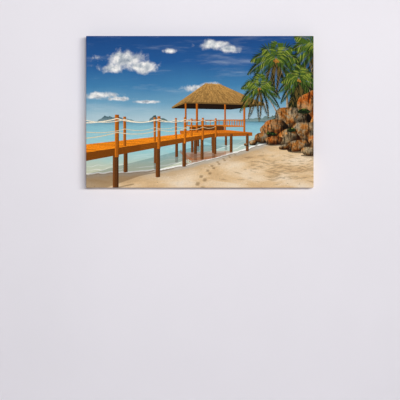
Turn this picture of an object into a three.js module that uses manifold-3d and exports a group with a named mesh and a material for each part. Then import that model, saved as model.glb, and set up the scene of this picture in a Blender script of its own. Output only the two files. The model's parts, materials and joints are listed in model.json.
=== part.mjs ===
// Stretched canvas wall print, 36 x 24 x 1.5 inch: printed canvas turned round a keyed pine stretcher
// with a centre brace, hung by two ring hangers that swivel on their straps.
// Millimetres. X runs along the long side, +Y points at the wall, +Z is up.
// The origin lies on the wall, midway between the two hooks that the rings hang on.
import * as THREE from 'three';
import { mergeVertices } from 'three/addons/utils/BufferGeometryUtils.js';
import Module from 'manifold-3d';

const wasm = await Module();
wasm.setup();

// Driving dimensions
const PRINT_WIDTH = 914.4;
const PRINT_HEIGHT = 609.6;
const PRINT_DEPTH = 38.1;
const HOOK_DROP = 140; // from the top edge down to the hooks
const STAND_OFF = 4.8; // the wall lies this far behind the canvas, on the bumpers

// Canvas
const CLOTH = 0.7; // thickness
const CLOTH_MARGIN = 18; // turned onto the back of the bars
const CLOTH_CORNER = 2.2; // outer radius where it turns off the front
const FIT = 0.3; // gap between pieces that touch

// Stretcher bars, from the outer edge in (w) and from the wood's front back (d)
const BAR_WIDTH = 38;
const RIM = 6; // the raised rim that alone touches the canvas
const RIM_STEP = 2.5; // how far the face drops behind the rim
const BEVEL = 8; // depth of the front face at the bar's inner edge
const EDGE = 1.2; // small chamfers on bars and brace

// Centre brace and its tenons
const BRACE = { width: 38, thickness: 16 };
const TENON = { width: 26, thickness: 6, length: 12 };

// Corner keys: right-angled wedges in a slot at half the bars' depth
const KEY = { leg: 30, thickness: 4.2, proud: 12, nose: 3 };
const KEY_SLOT = { thickness: 4.8, spare: 2 };

// Ring hangers
const STRAP = { width: 11, plate: 1, length: 35, lap: 14, loopInner: 1.3 };
const RING = { wire: 1.15, halfWidth: 9.5, arm: 3, sides: 12 };
const SCREW = { head: 3.4, headHeight: 1.7, shank: 1.5, length: 13, drops: [20, 29.5] };
const SCREW_HOLE = 1.9;

const BUMPER = { radius: 6, inset: 9, fromCorner: 45 };

// Worked out from the above, in the print's own frame: its centre at x = z = 0, its back at y = 0
const WALL_OF_CLOTH = CLOTH + FIT;
const WOOD = {
  halfWidth: PRINT_WIDTH / 2 - WALL_OF_CLOTH,
  halfHeight: PRINT_HEIGHT / 2 - WALL_OF_CLOTH,
  front: -PRINT_DEPTH + WALL_OF_CLOTH,
  back: -WALL_OF_CLOTH,
};
const WOOD_DEPTH = WOOD.back - WOOD.front;
const SLOT_Y = (WOOD.front + WOOD.back) / 2;
const STRAP_BASE_Y = WOOD.back + FIT;
const LOOP_OUTER = STRAP.loopInner + STRAP.plate;
const LOOP_Y = STRAP_BASE_Y + LOOP_OUTER;
const RING_TOP = RING.arm + RING.halfWidth; // from the hinge axis to the top of the ring's centreline
const HOOK_Z = PRINT_HEIGHT / 2 - HOOK_DROP;
const LOOP_Z = HOOK_Z - (RING_TOP - RING.wire);
const BARE_WOOD = (WOOD.halfWidth - BAR_WIDTH + PRINT_WIDTH / 2 - CLOTH_MARGIN) / 2;

// Materials
const finish = (color, roughness, metalness = 0) =>
  new THREE.MeshStandardMaterial({ color, roughness, metalness });
const FINISH = {
  canvas: finish(0x8fb0b4, 0.85),
  pine: finish(0xd9b98a, 0.7),
  key: finish(0xe2c79c, 0.75),
  zinc: finish(0xb9bcc0, 0.35, 1),
  bumper: finish(0xd8dadb, 0.3),
};

// A closed three.js geometry as a solid that can be cut and joined
function solid(geometry) {
  const bare = geometry.index ? geometry.toNonIndexed() : geometry.clone();
  const clean = new THREE.BufferGeometry().setAttribute('position', bare.getAttribute('position'));
  const merged = mergeVertices(clean, 1e-4);
  return new wasm.Manifold(new wasm.Mesh({
    numProp: 3,
    vertProperties: merged.attributes.position.array,
    triVerts: new Uint32Array(merged.index.array),
  }));
}

function geometryOf(made) {
  const mesh = made.getMesh();
  const geometry = new THREE.BufferGeometry();
  geometry.setAttribute('position', new THREE.BufferAttribute(new Float32Array(mesh.vertProperties), 3));
  geometry.setIndex(new THREE.BufferAttribute(new Uint32Array(mesh.triVerts), 1));
  geometry.computeVertexNormals();
  return geometry;
}

function piece(name, geometry, material) {
  const mesh = new THREE.Mesh(geometry, material);
  mesh.name = name;
  return mesh;
}

// A box between two corners
function block(low, high) {
  const size = high.map((value, i) => value - low[i]);
  return new THREE.BoxGeometry(...size).translate(...low.map((value, i) => value + size[i] / 2));
}

// An outline in x and z, as thick as y runs from low to high
function slab(outline, low, high) {
  const shape = new THREE.Shape(outline.map(([x, z]) => new THREE.Vector2(x, z)));
  const geometry = new THREE.ExtrudeGeometry(shape, { depth: high - low, bevelEnabled: false });
  return geometry.rotateX(Math.PI / 2).translate(0, high, 0);
}

// An outline in y and z, as long as x runs either way from the middle
function sectionAlongX(shape, length, curveSegments = 6) {
  const geometry = new THREE.ExtrudeGeometry(shape, { depth: length, bevelEnabled: false, curveSegments });
  const turn = new THREE.Matrix4().makeBasis(
    new THREE.Vector3(0, 1, 0), new THREE.Vector3(0, 0, 1), new THREE.Vector3(1, 0, 0));
  return geometry.applyMatrix4(turn).translate(-length / 2, 0, 0);
}

// A rectangle in y and z whose two front corners are rounded
function roundedSection(frontY, backY, halfHeight, radius) {
  const shape = new THREE.Shape();
  shape.moveTo(backY, -halfHeight);
  shape.lineTo(backY, halfHeight);
  shape.lineTo(frontY + radius, halfHeight);
  shape.absarc(frontY + radius, halfHeight - radius, radius, Math.PI / 2, Math.PI, false);
  shape.lineTo(frontY, -halfHeight + radius);
  shape.absarc(frontY + radius, -halfHeight + radius, radius, Math.PI, 1.5 * Math.PI, false);
  shape.closePath();
  return shape;
}

// A flat box with rounded front edges, inset from the print's outside by a given amount
function wrapBlock(inset, backY) {
  const halfWidth = PRINT_WIDTH / 2 - inset;
  const halfHeight = PRINT_HEIGHT / 2 - inset;
  const frontY = -PRINT_DEPTH + inset;
  const radius = CLOTH_CORNER - inset;
  const across = sectionAlongX(roundedSection(frontY, backY, halfHeight, radius), 2 * halfWidth);
  const upright = sectionAlongX(roundedSection(frontY, backY, halfWidth, radius), 2 * halfHeight);
  upright.rotateY(-Math.PI / 2);
  return solid(across).intersect(solid(upright));
}

// The printed cloth: front, four turned sides and the margin on the back
function canvas() {
  const windowX = PRINT_WIDTH / 2 - CLOTH_MARGIN;
  const windowZ = PRINT_HEIGHT / 2 - CLOTH_MARGIN;
  const mouth = block([-windowX, -WALL_OF_CLOTH, -windowZ], [windowX, 1, windowZ]);
  const made = wrapBlock(0, 0).subtract(wrapBlock(CLOTH, -CLOTH)).subtract(solid(mouth));
  return piece('canvas', geometryOf(made), FINISH.canvas);
}

// A bar's section in y and z, with its outer edge at z = 0 and its rim at the front
function barSection() {
  const { front, back } = WOOD;
  const points = [
    [back - EDGE, 0], [front + EDGE, 0], [front, -EDGE], [front, -RIM],
    [front + RIM_STEP, -RIM - RIM_STEP], [front + BEVEL, -BAR_WIDTH + EDGE],
    [front + BEVEL + EDGE, -BAR_WIDTH], [back - EDGE, -BAR_WIDTH],
    [back, -BAR_WIDTH + EDGE], [back, -EDGE],
  ];
  return new THREE.Shape(points.map(([y, z]) => new THREE.Vector2(y, z)));
}

// One stretcher bar and its two keys, as the top one stands: along X, with its outer edge at z = 0
function bar(name, length, cuts = []) {
  const gap = FIT * Math.SQRT1_2;
  const outer = length / 2 - gap;
  const cornerX = length / 2 - BAR_WIDTH;
  const plan = slab(
    [[-outer, 0], [outer, 0], [outer - BAR_WIDTH, -BAR_WIDTH], [-outer + BAR_WIDTH, -BAR_WIDTH]],
    WOOD.front - 1, WOOD.back + 1);
  let made = solid(sectionAlongX(barSection(), length)).intersect(solid(plan));
  const reachIn = KEY.proud + KEY_SLOT.spare;
  const reachOut = KEY.leg - KEY.proud + KEY_SLOT.spare;
  const half = KEY_SLOT.thickness / 2;
  for (const side of [-1, 1]) {
    const xs = [side * (cornerX - reachIn), side * (cornerX + reachOut)].sort((a, b) => a - b);
    const slot = block(
      [xs[0], SLOT_Y - half, -BAR_WIDTH - reachIn], [xs[1], SLOT_Y + half, -BAR_WIDTH + reachOut]);
    made = made.subtract(solid(slot));
  }
  for (const cut of cuts) made = made.subtract(solid(cut));

  const group = new THREE.Group();
  group.add(piece(name, geometryOf(made), FINISH.pine));
  for (const [side, end] of [[-1, 'a'], [1, 'b']]) {
    const wedge = piece(`key_${name}_${end}`, keyGeometry(side), FINISH.key);
    wedge.position.set(side * cornerX, SLOT_Y, -BAR_WIDTH);
    group.add(wedge);
  }
  return group;
}

// A key lies on its bar's side of the mitre, with its square corner away from the frame's corner
function keyGeometry(side) {
  const near = -KEY.proud;
  const far = KEY.leg - KEY.proud;
  const slack = 2 * FIT;
  const outline = [
    [near, near + slack + KEY.nose], [near, far], [far - slack - KEY.nose, far],
    [far - slack - KEY.nose, far - KEY.nose / 2], [near + KEY.nose / 2, near + slack + KEY.nose],
  ].map(([x, z]) => [side * x, z]);
  if (side > 0) outline.reverse();
  return slab(outline, -KEY.thickness / 2, KEY.thickness / 2);
}

// The upright at mid-length, flush with the bars' backs, with a tenon in each rail
function brace() {
  const length = 2 * (WOOD.halfHeight - BAR_WIDTH - FIT);
  const shape = new THREE.Shape([
    [WOOD.back - BRACE.thickness, -BRACE.width / 2 + EDGE], [WOOD.back - BRACE.thickness + EDGE, -BRACE.width / 2],
    [WOOD.back - EDGE, -BRACE.width / 2], [WOOD.back, -BRACE.width / 2 + EDGE],
    [WOOD.back, BRACE.width / 2 - EDGE], [WOOD.back - EDGE, BRACE.width / 2],
    [WOOD.back - BRACE.thickness + EDGE, BRACE.width / 2], [WOOD.back - BRACE.thickness, BRACE.width / 2 - EDGE],
  ].map(([y, z]) => new THREE.Vector2(y, z)));
  const tenonY = WOOD.back - BRACE.thickness / 2;
  const tenons = block(
    [-TENON.width / 2, tenonY - TENON.thickness / 2, -length / 2 - TENON.length],
    [TENON.width / 2, tenonY + TENON.thickness / 2, length / 2 + TENON.length]);
  const post = solid(sectionAlongX(shape, length).rotateY(-Math.PI / 2));
  return piece('brace', geometryOf(post.add(solid(tenons))), FINISH.pine);
}

// The brace's mortise in a rail, in the rail's own frame
function mortise() {
  const tenonY = WOOD.back - BRACE.thickness / 2;
  const halfThick = TENON.thickness / 2 + FIT;
  return block(
    [-TENON.width / 2 - FIT, tenonY - halfThick, -BAR_WIDTH - 1],
    [TENON.width / 2 + FIT, tenonY + halfThick, -BAR_WIDTH + TENON.length + 2 * FIT]);
}

// Pilot holes for one hanger's screws, at a place along a bar's own frame
function pilotHoles(x, across, direction) {
  return SCREW.drops.map((drop) => {
    const depth = SCREW.length + 1;
    const hole = new THREE.CylinderGeometry(SCREW_HOLE, SCREW_HOLE, depth + 1, 16);
    return hole.translate(x + direction * drop, WOOD.back + 0.5 - depth / 2, across);
  });
}

// The folded steel strap: base plate, loop round the ring's straight side, and the lap laid back on the plate
function strapGeometry() {
  const r = LOOP_OUTER;
  const t = STRAP.plate;
  const shape = new THREE.Shape();
  shape.moveTo(0, -STRAP.length);
  shape.lineTo(0, 0);
  shape.absarc(r, 0, r, Math.PI, 0, true);
  shape.lineTo(2 * r, -1);
  shape.lineTo(2 * t + 0.2, -r - 2.4);
  shape.lineTo(2 * t + 0.2, -STRAP.lap);
  shape.lineTo(t, -STRAP.lap);
  shape.lineTo(t, -STRAP.length);
  shape.closePath();
  const eye = new THREE.Shape();
  eye.absarc(r, 0, STRAP.loopInner, 0, 2 * Math.PI, false);
  const body = solid(sectionAlongX(shape, STRAP.width, 10));
  let made = body.subtract(solid(sectionAlongX(eye, STRAP.width + 2, 24)));
  for (const drop of SCREW.drops) {
    const hole = new THREE.CylinderGeometry(SCREW_HOLE, SCREW_HOLE, 6, 16);
    made = made.subtract(solid(hole.translate(0, 0, -drop)));
  }
  return geometryOf(made);
}

// The D-shaped ring: a straight side on the hinge axis and a round bow above it
function ringGeometry() {
  const { halfWidth, arm, wire, sides } = RING;
  const bow = new THREE.CurvePath();
  const at = (x, z) => new THREE.Vector3(x, 0, z);
  bow.add(new THREE.LineCurve3(at(-halfWidth, 0), at(-halfWidth, arm)));
  const arcSteps = 16;
  const arcPoint = (i) => {
    const angle = Math.PI - (i * Math.PI) / arcSteps;
    return at(halfWidth * Math.cos(angle), arm + halfWidth * Math.sin(angle));
  };
  for (let i = 0; i < arcSteps; i += 1) bow.add(new THREE.LineCurve3(arcPoint(i), arcPoint(i + 1)));
  bow.add(new THREE.LineCurve3(at(halfWidth, arm), at(halfWidth, 0)));
  const section = new THREE.Shape();
  section.absarc(0, 0, wire, 0, 2 * Math.PI, false);
  const tube = new THREE.ExtrudeGeometry(section, {
    steps: 40, extrudePath: bow, curveSegments: sides, bevelEnabled: false });
  const straight = new THREE.CylinderGeometry(wire, wire, 2 * halfWidth, sides).rotateZ(Math.PI / 2);
  const ends = [-1, 1].map((side) => new THREE.SphereGeometry(wire, sides, sides / 2).translate(side * halfWidth, 0, 0));
  let made = solid(tube).add(solid(straight));
  for (const end of ends) made = made.add(solid(end));
  return geometryOf(made);
}

// A pan-head wood screw along Y, its seat at y = 0 and its point towards -Y
function screwGeometry() {
  const { head, headHeight, shank, length } = SCREW;
  const profile = [
    [0, -length], [shank, -length + 3], [shank, 0], [head, 0], [head, headHeight * 0.35],
    [head * 0.8, headHeight * 0.8], [head * 0.4, headHeight], [0, headHeight],
  ].map(([radius, y]) => new THREE.Vector2(radius, y));
  return new THREE.LatheGeometry(profile, 16);
}

// One hanger: strap, ring and two screws, on the bare wood of a stile
function hanger(side, word) {
  const group = new THREE.Group();
  group.position.set(side * BARE_WOOD, 0, LOOP_Z);
  const strap = piece(`hanger_strap_${word}`, strapGeometry(), FINISH.zinc);
  strap.position.y = STRAP_BASE_Y;
  const ring = piece(`hanger_ring_${word}`, ringGeometry(), FINISH.zinc);
  ring.position.y = LOOP_Y;
  group.add(strap, ring);
  SCREW.drops.forEach((drop, i) => {
    const screw = piece(`hanger_screw_${word}_${i + 1}`, screwGeometry(), FINISH.zinc);
    screw.position.set(0, STRAP_BASE_Y + STRAP.plate + FIT / 2, -drop);
    group.add(screw);
  });
  return group;
}

// A soft domed foot that keeps the lower edge off the wall
function bumper(side, word) {
  const { radius, inset, fromCorner } = BUMPER;
  const height = STAND_OFF - 0.1;
  const profile = [[0, 0], [radius, 0], [radius, height * 0.45], [radius * 0.86, height * 0.8],
    [radius * 0.55, height], [0, height]].map(([r, y]) => new THREE.Vector2(r, y));
  const mesh = piece(`bumper_${word}`, new THREE.LatheGeometry(profile, 24), FINISH.bumper);
  mesh.position.set(side * (PRINT_WIDTH / 2 - fromCorner), 0.1, -PRINT_HEIGHT / 2 + inset);
  return mesh;
}

// The bars' places: turned about Y from the top rail's
function stretcher() {
  const group = new THREE.Group();
  const across = BARE_WOOD - WOOD.halfWidth; // how far in from a stile's outer edge the straps sit
  const bars = [
    { name: 'rail_top', length: 2 * WOOD.halfWidth, turn: 0, cuts: [mortise()] },
    { name: 'rail_bottom', length: 2 * WOOD.halfWidth, turn: Math.PI, cuts: [mortise()] },
    { name: 'stile_right', length: 2 * WOOD.halfHeight, turn: Math.PI / 2, cuts: pilotHoles(-LOOP_Z, across, 1) },
    { name: 'stile_left', length: 2 * WOOD.halfHeight, turn: -Math.PI / 2, cuts: pilotHoles(LOOP_Z, across, -1) },
  ];
  for (const { name, length, turn, cuts } of bars) {
    const place = bar(name, length, cuts);
    const reach = name.startsWith('rail') ? WOOD.halfHeight : WOOD.halfWidth;
    place.rotation.y = turn;
    place.position.set(reach * Math.sin(turn), 0, reach * Math.cos(turn));
    group.add(place);
  }
  group.add(brace());
  return group;
}

const print = new THREE.Group();
print.add(canvas(), stretcher());
for (const [side, word] of [[-1, 'left'], [1, 'right']]) print.add(hanger(side, word), bumper(side, word));
print.position.set(0, -STAND_OFF, -HOOK_Z);

const root = new THREE.Group();
root.add(print);

export default root;
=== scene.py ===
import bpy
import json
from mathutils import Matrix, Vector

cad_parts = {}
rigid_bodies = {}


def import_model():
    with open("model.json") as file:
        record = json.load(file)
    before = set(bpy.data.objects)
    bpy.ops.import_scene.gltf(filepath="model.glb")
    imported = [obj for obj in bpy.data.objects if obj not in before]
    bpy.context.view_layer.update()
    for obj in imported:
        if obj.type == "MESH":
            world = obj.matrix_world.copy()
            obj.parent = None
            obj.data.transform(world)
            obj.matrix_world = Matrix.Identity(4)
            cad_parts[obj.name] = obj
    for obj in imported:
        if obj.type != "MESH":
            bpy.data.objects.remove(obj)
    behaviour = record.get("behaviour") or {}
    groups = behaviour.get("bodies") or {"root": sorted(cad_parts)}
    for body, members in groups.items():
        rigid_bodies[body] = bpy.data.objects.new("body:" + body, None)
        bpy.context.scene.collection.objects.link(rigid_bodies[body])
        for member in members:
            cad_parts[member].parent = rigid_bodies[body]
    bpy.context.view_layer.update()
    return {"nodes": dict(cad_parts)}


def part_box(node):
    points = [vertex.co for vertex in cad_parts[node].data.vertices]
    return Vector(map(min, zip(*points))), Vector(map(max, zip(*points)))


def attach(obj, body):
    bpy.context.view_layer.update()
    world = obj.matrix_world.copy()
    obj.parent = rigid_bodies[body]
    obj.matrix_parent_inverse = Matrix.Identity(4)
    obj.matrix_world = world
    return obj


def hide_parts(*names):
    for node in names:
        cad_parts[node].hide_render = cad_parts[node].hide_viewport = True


bl_info = {
    "name": "Stretched Canvas Wall Print",
    "version": (1, 0, 0),
    "blender": (4, 5, 0),
    "location": "3D View > Sidebar > Wall Print",
    "description": "Printed canvas, pine stretcher, keys, staples and ring hangers round the packed frame",
    "category": "Object",
}

import json
import math
import random
from collections import namedtuple
from functools import partial

import bmesh
import bpy
import numpy as np
from mathutils import Vector, noise
from mathutils.geometry import delaunay_2d_cdt

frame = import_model()

# Sizes are in millimetres unless a comment says metres; Blender gets metres
MM = 0.001
CANVAS_LOW, CANVAS_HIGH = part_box("canvas")
HALF_WIDTH = (CANVAS_HIGH.x - CANVAS_LOW.x) / 2 / MM
HALF_HEIGHT = (CANVAS_HIGH.z - CANVAS_LOW.z) / 2 / MM
CENTRE_Z = (CANVAS_HIGH.z + CANVAS_LOW.z) / 2 / MM
FRONT_Y = CANVAS_LOW.y / MM
BACK_Y = CANVAS_HIGH.y / MM
# How far the canvas lies on the backs of the bars
MARGIN = 18

# The canvas turns off the front and onto the back round edges of this radius. Each length is of cloth: in a
# turn, on a side's flat, from front to back, and on the back's flat. Inner is the flat front's half size
ROUND = 2.2
TURN = math.pi / 2 * ROUND
SIDE = BACK_Y - FRONT_Y - 2 * ROUND
REACH = 2 * TURN + SIDE
FLAT_BACK = MARGIN - ROUND
INNER = np.array([HALF_WIDTH - ROUND, HALF_HEIGHT - ROUND])
# A corner of the cloth is a fan of this many sectors, each ending in a straight cut
CORNER_STEPS = 4
SECTOR = math.pi / 2 / CORNER_STEPS
FAN_END = REACH * math.cos(SECTOR / 2)
# A pleat rises over this width along its fold, and drops over this width at the edge of its side
PLEAT_RISE = 4
PLEAT_DROP = 0.7
# How far inside the front's edge the mesh has a line
INSIDE_EDGE = 2.5

# How the pictured beach is seen: eye height in metres, print millimetres for one metre seen a metre away,
# and the horizon's height on the print. Its sky and ground go on past the cloth's ends, to these half sizes
EYE_HEIGHT = 1.7
SIGHT = 800
HORIZON = -38
SUN = Vector((-0.52, -0.5, 0.69)).normalized()
PICTURE_WIDE = 700
PICTURE_HIGH = 460
# Height of the pictured jetty's deck and how far back from its start the planks begin, in metres
DECK = 0.92
RUN_BACK = 2.4

KINDS = ("sky", "sea", "sand", "rock", "motif", "primed")

# The UV map is the flat cloth in metres, moved by this much so that none of it is below nought
UV_SHIFT = 0.6


def linear(code):
    """An sRGB hex colour as linear red, green, blue and alpha."""
    parts = [int(code[i : i + 2], 16) / 255 for i in (1, 3, 5)]
    return tuple(p / 12.92 if p <= 0.04045 else ((p + 0.055) / 1.055) ** 2.4 for p in parts) + (1.0,)


def colour_of(code):
    return np.array(linear(code)[:3])


def smooth(value):
    held = np.clip(value, 0, 1)
    return held * held * (3 - 2 * held)


def round_pairs(items):
    """Each item with the next, and the last with the first."""
    return zip(items, items[1:] + items[:1])


def deselect_all():
    for shown in bpy.context.scene.objects:
        shown.select_set(False)


# What a user may want to change
class ClothSettings(bpy.types.PropertyGroup):
    """Sizes and colours of the printed canvas."""

    thickness: bpy.props.FloatProperty(
        name="Cloth thickness", description="Thickness of the primed canvas",
        default=0.5 * MM, min=0.2 * MM, max=0.7 * MM, unit="LENGTH", precision=4,
    )
    pleat: bpy.props.FloatProperty(
        name="Pleat height", description="How far the canvas stands out over its folded corners",
        default=0.9 * MM, min=0.0, max=2 * MM, unit="LENGTH", precision=4,
    )
    weave: bpy.props.FloatProperty(
        name="Weave pitch", description="Spacing of the threads as drawn",
        default=2.4 * MM, min=0.5 * MM, max=6 * MM, unit="LENGTH", precision=4,
    )
    sky: bpy.props.FloatVectorProperty(
        name="Sky", description="Colour of the picture's sky at its deepest",
        default=linear("#173E78")[:3], min=0.0, max=1.0, size=3, subtype="COLOR",
    )
    sea: bpy.props.FloatVectorProperty(
        name="Sea", description="Colour of the picture's sea along the horizon",
        default=linear("#66A8BC")[:3], min=0.0, max=1.0, size=3, subtype="COLOR",
    )
    sand: bpy.props.FloatVectorProperty(
        name="Sand", description="Colour of most of the picture's sand",
        default=linear("#DABA8E")[:3], min=0.0, max=1.0, size=3, subtype="COLOR",
    )
    primer: bpy.props.FloatVectorProperty(
        name="Primer", description="Colour of the unprinted canvas",
        default=linear("#EBE8DF")[:3], min=0.0, max=1.0, size=3, subtype="COLOR",
    )


class WoodSettings(bpy.types.PropertyGroup):
    """Grain and colours of the stretcher and its keys."""

    ring: bpy.props.FloatProperty(
        name="Growth ring", description="Width of one year's growth in the bars",
        default=3 * MM, min=1 * MM, max=8 * MM, unit="LENGTH", precision=4,
    )
    early: bpy.props.FloatVectorProperty(
        name="Early wood", description="Colour of the pale, wide part of each ring",
        default=linear("#E9D6B4")[:3], min=0.0, max=1.0, size=3, subtype="COLOR",
    )
    late: bpy.props.FloatVectorProperty(
        name="Late wood", description="Colour of the dark line that ends each ring",
        default=linear("#CDA678")[:3], min=0.0, max=1.0, size=3, subtype="COLOR",
    )
    key: bpy.props.FloatVectorProperty(
        name="Key wood", description="Colour of the wedge keys",
        default=linear("#EBD9B6")[:3], min=0.0, max=1.0, size=3, subtype="COLOR",
    )


class FastenerSettings(bpy.types.PropertyGroup):
    """Staples, ring hangers with their screws, and bumpers."""

    crown: bpy.props.FloatProperty(
        name="Staple crown", description="Length of a staple across the cloth",
        default=10.4 * MM, min=6 * MM, max=12.8 * MM, unit="LENGTH", precision=4,
    )
    leg: bpy.props.FloatProperty(
        name="Staple leg", description="How deep a staple goes in",
        default=5 * MM, min=3 * MM, max=8 * MM, unit="LENGTH", precision=4,
    )
    spacing: bpy.props.FloatProperty(
        name="Staple spacing", description="Distance from one staple to the next",
        default=56 * MM, min=25 * MM, max=120 * MM, unit="LENGTH",
    )
    head: bpy.props.FloatProperty(
        name="Screw head", description="Diameter of the hanger screws' heads",
        default=6.8 * MM, min=5 * MM, max=7.2 * MM, unit="LENGTH", precision=4,
    )
    zinc: bpy.props.FloatVectorProperty(
        name="Zinc", description="Colour of the plated straps",
        default=linear("#C4C7CC")[:3], min=0.0, max=1.0, size=3, subtype="COLOR",
    )
    wire: bpy.props.FloatVectorProperty(
        name="Wire", description="Colour of the plated rings and screws",
        default=linear("#CDD0D4")[:3], min=0.0, max=1.0, size=3, subtype="COLOR",
    )
    rubber: bpy.props.FloatVectorProperty(
        name="Rubber", description="Colour of the bumpers",
        default=linear("#F1F0E9")[:3], min=0.0, max=1.0, size=3, subtype="COLOR",
    )


class StageSettings(bpy.types.PropertyGroup):
    """Wall, floor and light."""

    wall: bpy.props.FloatVectorProperty(
        name="Wall", description="Colour of the wall",
        default=linear("#E8E6EC")[:3], min=0.0, max=1.0, size=3, subtype="COLOR",
    )
    floor: bpy.props.FloatVectorProperty(
        name="Floor", description="Colour of the floor",
        default=linear("#D2D1D5")[:3], min=0.0, max=1.0, size=3, subtype="COLOR",
    )
    band: bpy.props.FloatProperty(
        name="Band of light", description="Strength of the band of light in front, in watts",
        default=94.0, min=0.0, max=1000.0, unit="POWER",
    )


# The flat cloth and how it goes round the bars
def fold_height(flat, pleat):
    """How far the cloth stands out where the corner's pleat lies under it, on the upper and lower sides."""
    over = np.abs(flat) - INNER
    depth = np.clip(over[:, 1], 0, REACH)
    from_corner = HALF_WIDTH - np.abs(flat[:, 0])
    reach = np.minimum(depth - TURN / 2, SIDE + ROUND)
    behind = np.maximum(over[:, 1] - REACH, 0)
    edge = INNER[0] - behind - np.abs(flat[:, 0])
    height = pleat * smooth((reach - from_corner) / PLEAT_RISE) * smooth(edge / PLEAT_DROP)
    return np.where((over[:, 1] > 0) & (over[:, 0] <= 0), height, 0)


def fan_chord(outward):
    """How far out points lie, along the middle of their sector of a corner's fan, or 0 off the fans."""
    gone = np.hypot(outward[:, 0], outward[:, 1])
    angle = np.arctan2(outward[:, 1], outward[:, 0])
    return np.where(outward.min(1) > 0, gone * np.cos(angle % SECTOR - SECTOR / 2), 0)


def folded(flat, pleat, sunk=0.0):
    """Where points of the flat cloth lie once it is stretched: front, rounded edge, side, rounded edge and
    back. Sunk is how far inside the cloth's outer face they are."""
    kept = np.clip(flat, -INNER, INNER)
    over = flat - kept
    gone = np.hypot(over[:, 0], over[:, 1])
    away = over / np.maximum(gone, 1e-9)[:, None]
    # A fan ends in straight cuts, which gather in one point once it is folded
    at_end = fan_chord(np.abs(over)) > FAN_END - 0.01
    gone = np.where(at_end, REACH, gone)
    first = np.clip(gone, 0, TURN) / ROUND
    second = np.clip(gone - TURN - SIDE, 0, TURN) / ROUND
    straight = np.clip(gone - TURN, 0, SIDE)
    behind = np.maximum(gone - REACH, 0)
    height = fold_height(flat, pleat) - sunk
    out = ROUND * (np.sin(first) - 1 + np.cos(second)) - behind
    out += height * np.sin(first) * np.cos(second)
    depth = FRONT_Y + ROUND * (1 - np.cos(first)) + straight + ROUND * np.sin(second)
    depth += height * (np.sin(second) - np.cos(first))
    place = kept + away * out[:, None]
    return np.stack([place[:, 0], depth, place[:, 1] + CENTRE_Z], 1)


def on_cloth(flat):
    """True for flat points of the cut cloth: a cross with fans between its arms, mitred on the back."""
    over = np.abs(flat) - INNER
    outward = np.maximum(over, 0)
    gone = np.hypot(outward[:, 0], outward[:, 1])
    spare = -over.min(1)
    in_arm = (gone <= REACH) | ((gone <= REACH + FLAT_BACK) & (spare >= gone - REACH))
    in_fan = fan_chord(outward) <= FAN_END + 1e-6
    return np.where(over.min(1) > 0, in_fan, in_arm)


def fold_lines():
    """Lines of the flat cloth along which the mesh needs edges, as lists of points."""
    lines = []
    turns = [-INSIDE_EDGE, 0] + [TURN * k / 4 for k in (1, 2, 3, 4)]
    turns += [TURN + SIDE * k / 5 for k in (1, 2, 3, 4, 5)]
    turns += [TURN + SIDE + TURN * k / 4 for k in (1, 2, 3, 4)]
    for gone in turns:
        loop = []
        for quarter, (right, up) in enumerate(((1, 1), (-1, 1), (-1, -1), (1, -1))):
            for step in range(CORNER_STEPS + 1):
                angle = math.pi / 2 * (quarter + step / CORNER_STEPS)
                reach = max(gone, 0)
                corner = INNER + min(gone, 0)
                x = right * corner[0] + reach * math.cos(angle)
                loop.append((x, up * corner[1] + reach * math.sin(angle)))
        lines.append(loop + loop[:1])
    for right in (-1, 1):
        for up in (-1, 1):
            corner = np.array([right * INNER[0], up * INNER[1]])
            for step in range(CORNER_STEPS + 1):
                angle = math.pi / 2 * step / CORNER_STEPS
                ray = np.array([right * math.cos(angle), up * math.sin(angle)]) * REACH
                lines.append([corner, corner + ray])
            # Mitres on the back, and close beside them the edge of the corner's pleat
            mitre_end = (right * (REACH + FLAT_BACK), -up * FLAT_BACK)
            lines.append([corner + (right * REACH, 0), corner + mitre_end])
            for beside in (0, PLEAT_DROP / 2, PLEAT_DROP):
                way = ((-right * beside, 0), (-right * beside, up * REACH))
                way += ((-right * (FLAT_BACK + beside), up * (REACH + FLAT_BACK)),)
                lines.append([corner + step for step in way])
            for share in (0, 0.3, 0.65, 1):
                start = corner + (right * (ROUND - PLEAT_RISE * share), up * TURN / 2)
                depth = SIDE + ROUND
                turned = start + (-right * depth, up * depth)
                lines.append([start, turned, (turned[0], up * (INNER[1] + REACH + FLAT_BACK))])
    for behind in (MARGIN / 2, FLAT_BACK):
        for side in (-1, 1):
            ends = INNER - behind
            wide = side * (INNER[0] + REACH + behind)
            high = side * (INNER[1] + REACH + behind)
            lines.append([(wide, -ends[1]), (wide, ends[1])])
            lines.append([(-ends[0], high), (ends[0], high)])
    return lines


# The picture, a beach of no particular place, laid down shape by shape from the back to the front
def even_ink(colour, alpha=1.0):
    """The same ink all over: a hex code, or linear red, green and blue."""
    held = np.append(colour_of(colour) if isinstance(colour, str) else colour, alpha)
    return lambda x, z: np.tile(held, (len(x), 1))


def cast(point):
    """Where a point of the pictured beach, in metres right, ahead and up, falls on the print."""
    return (SIGHT * point[0] / point[1], HORIZON + SIGHT * (point[2] - EYE_HEIGHT) / point[1])


def ragged(points, spacing, amount, seed, grain):
    """A line with points every spacing millimetres, pushed up and down by noise."""
    made = []
    for (x0, z0), (x1, z1) in zip(points, points[1:]):
        steps = max(1, round(math.hypot(x1 - x0, z1 - z0) / spacing))
        for k in range(steps):
            share = k / steps
            made.append((x0 + (x1 - x0) * share, z0 + (z1 - z0) * share))
    made.append(points[-1])
    return [
        (x, z + amount * noise.fractal(Vector((x / grain, z / grain, seed)), 1.0, 2.0, 4))
        for x, z in made
    ]


# Outlines filled together; the kind of print that they turn what they cover into, or None where they only
# tint it; a function from places to ink; and the one kind that they cover, or None for all
Shape = namedtuple("Shape", "outlines kind ink only")


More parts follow.
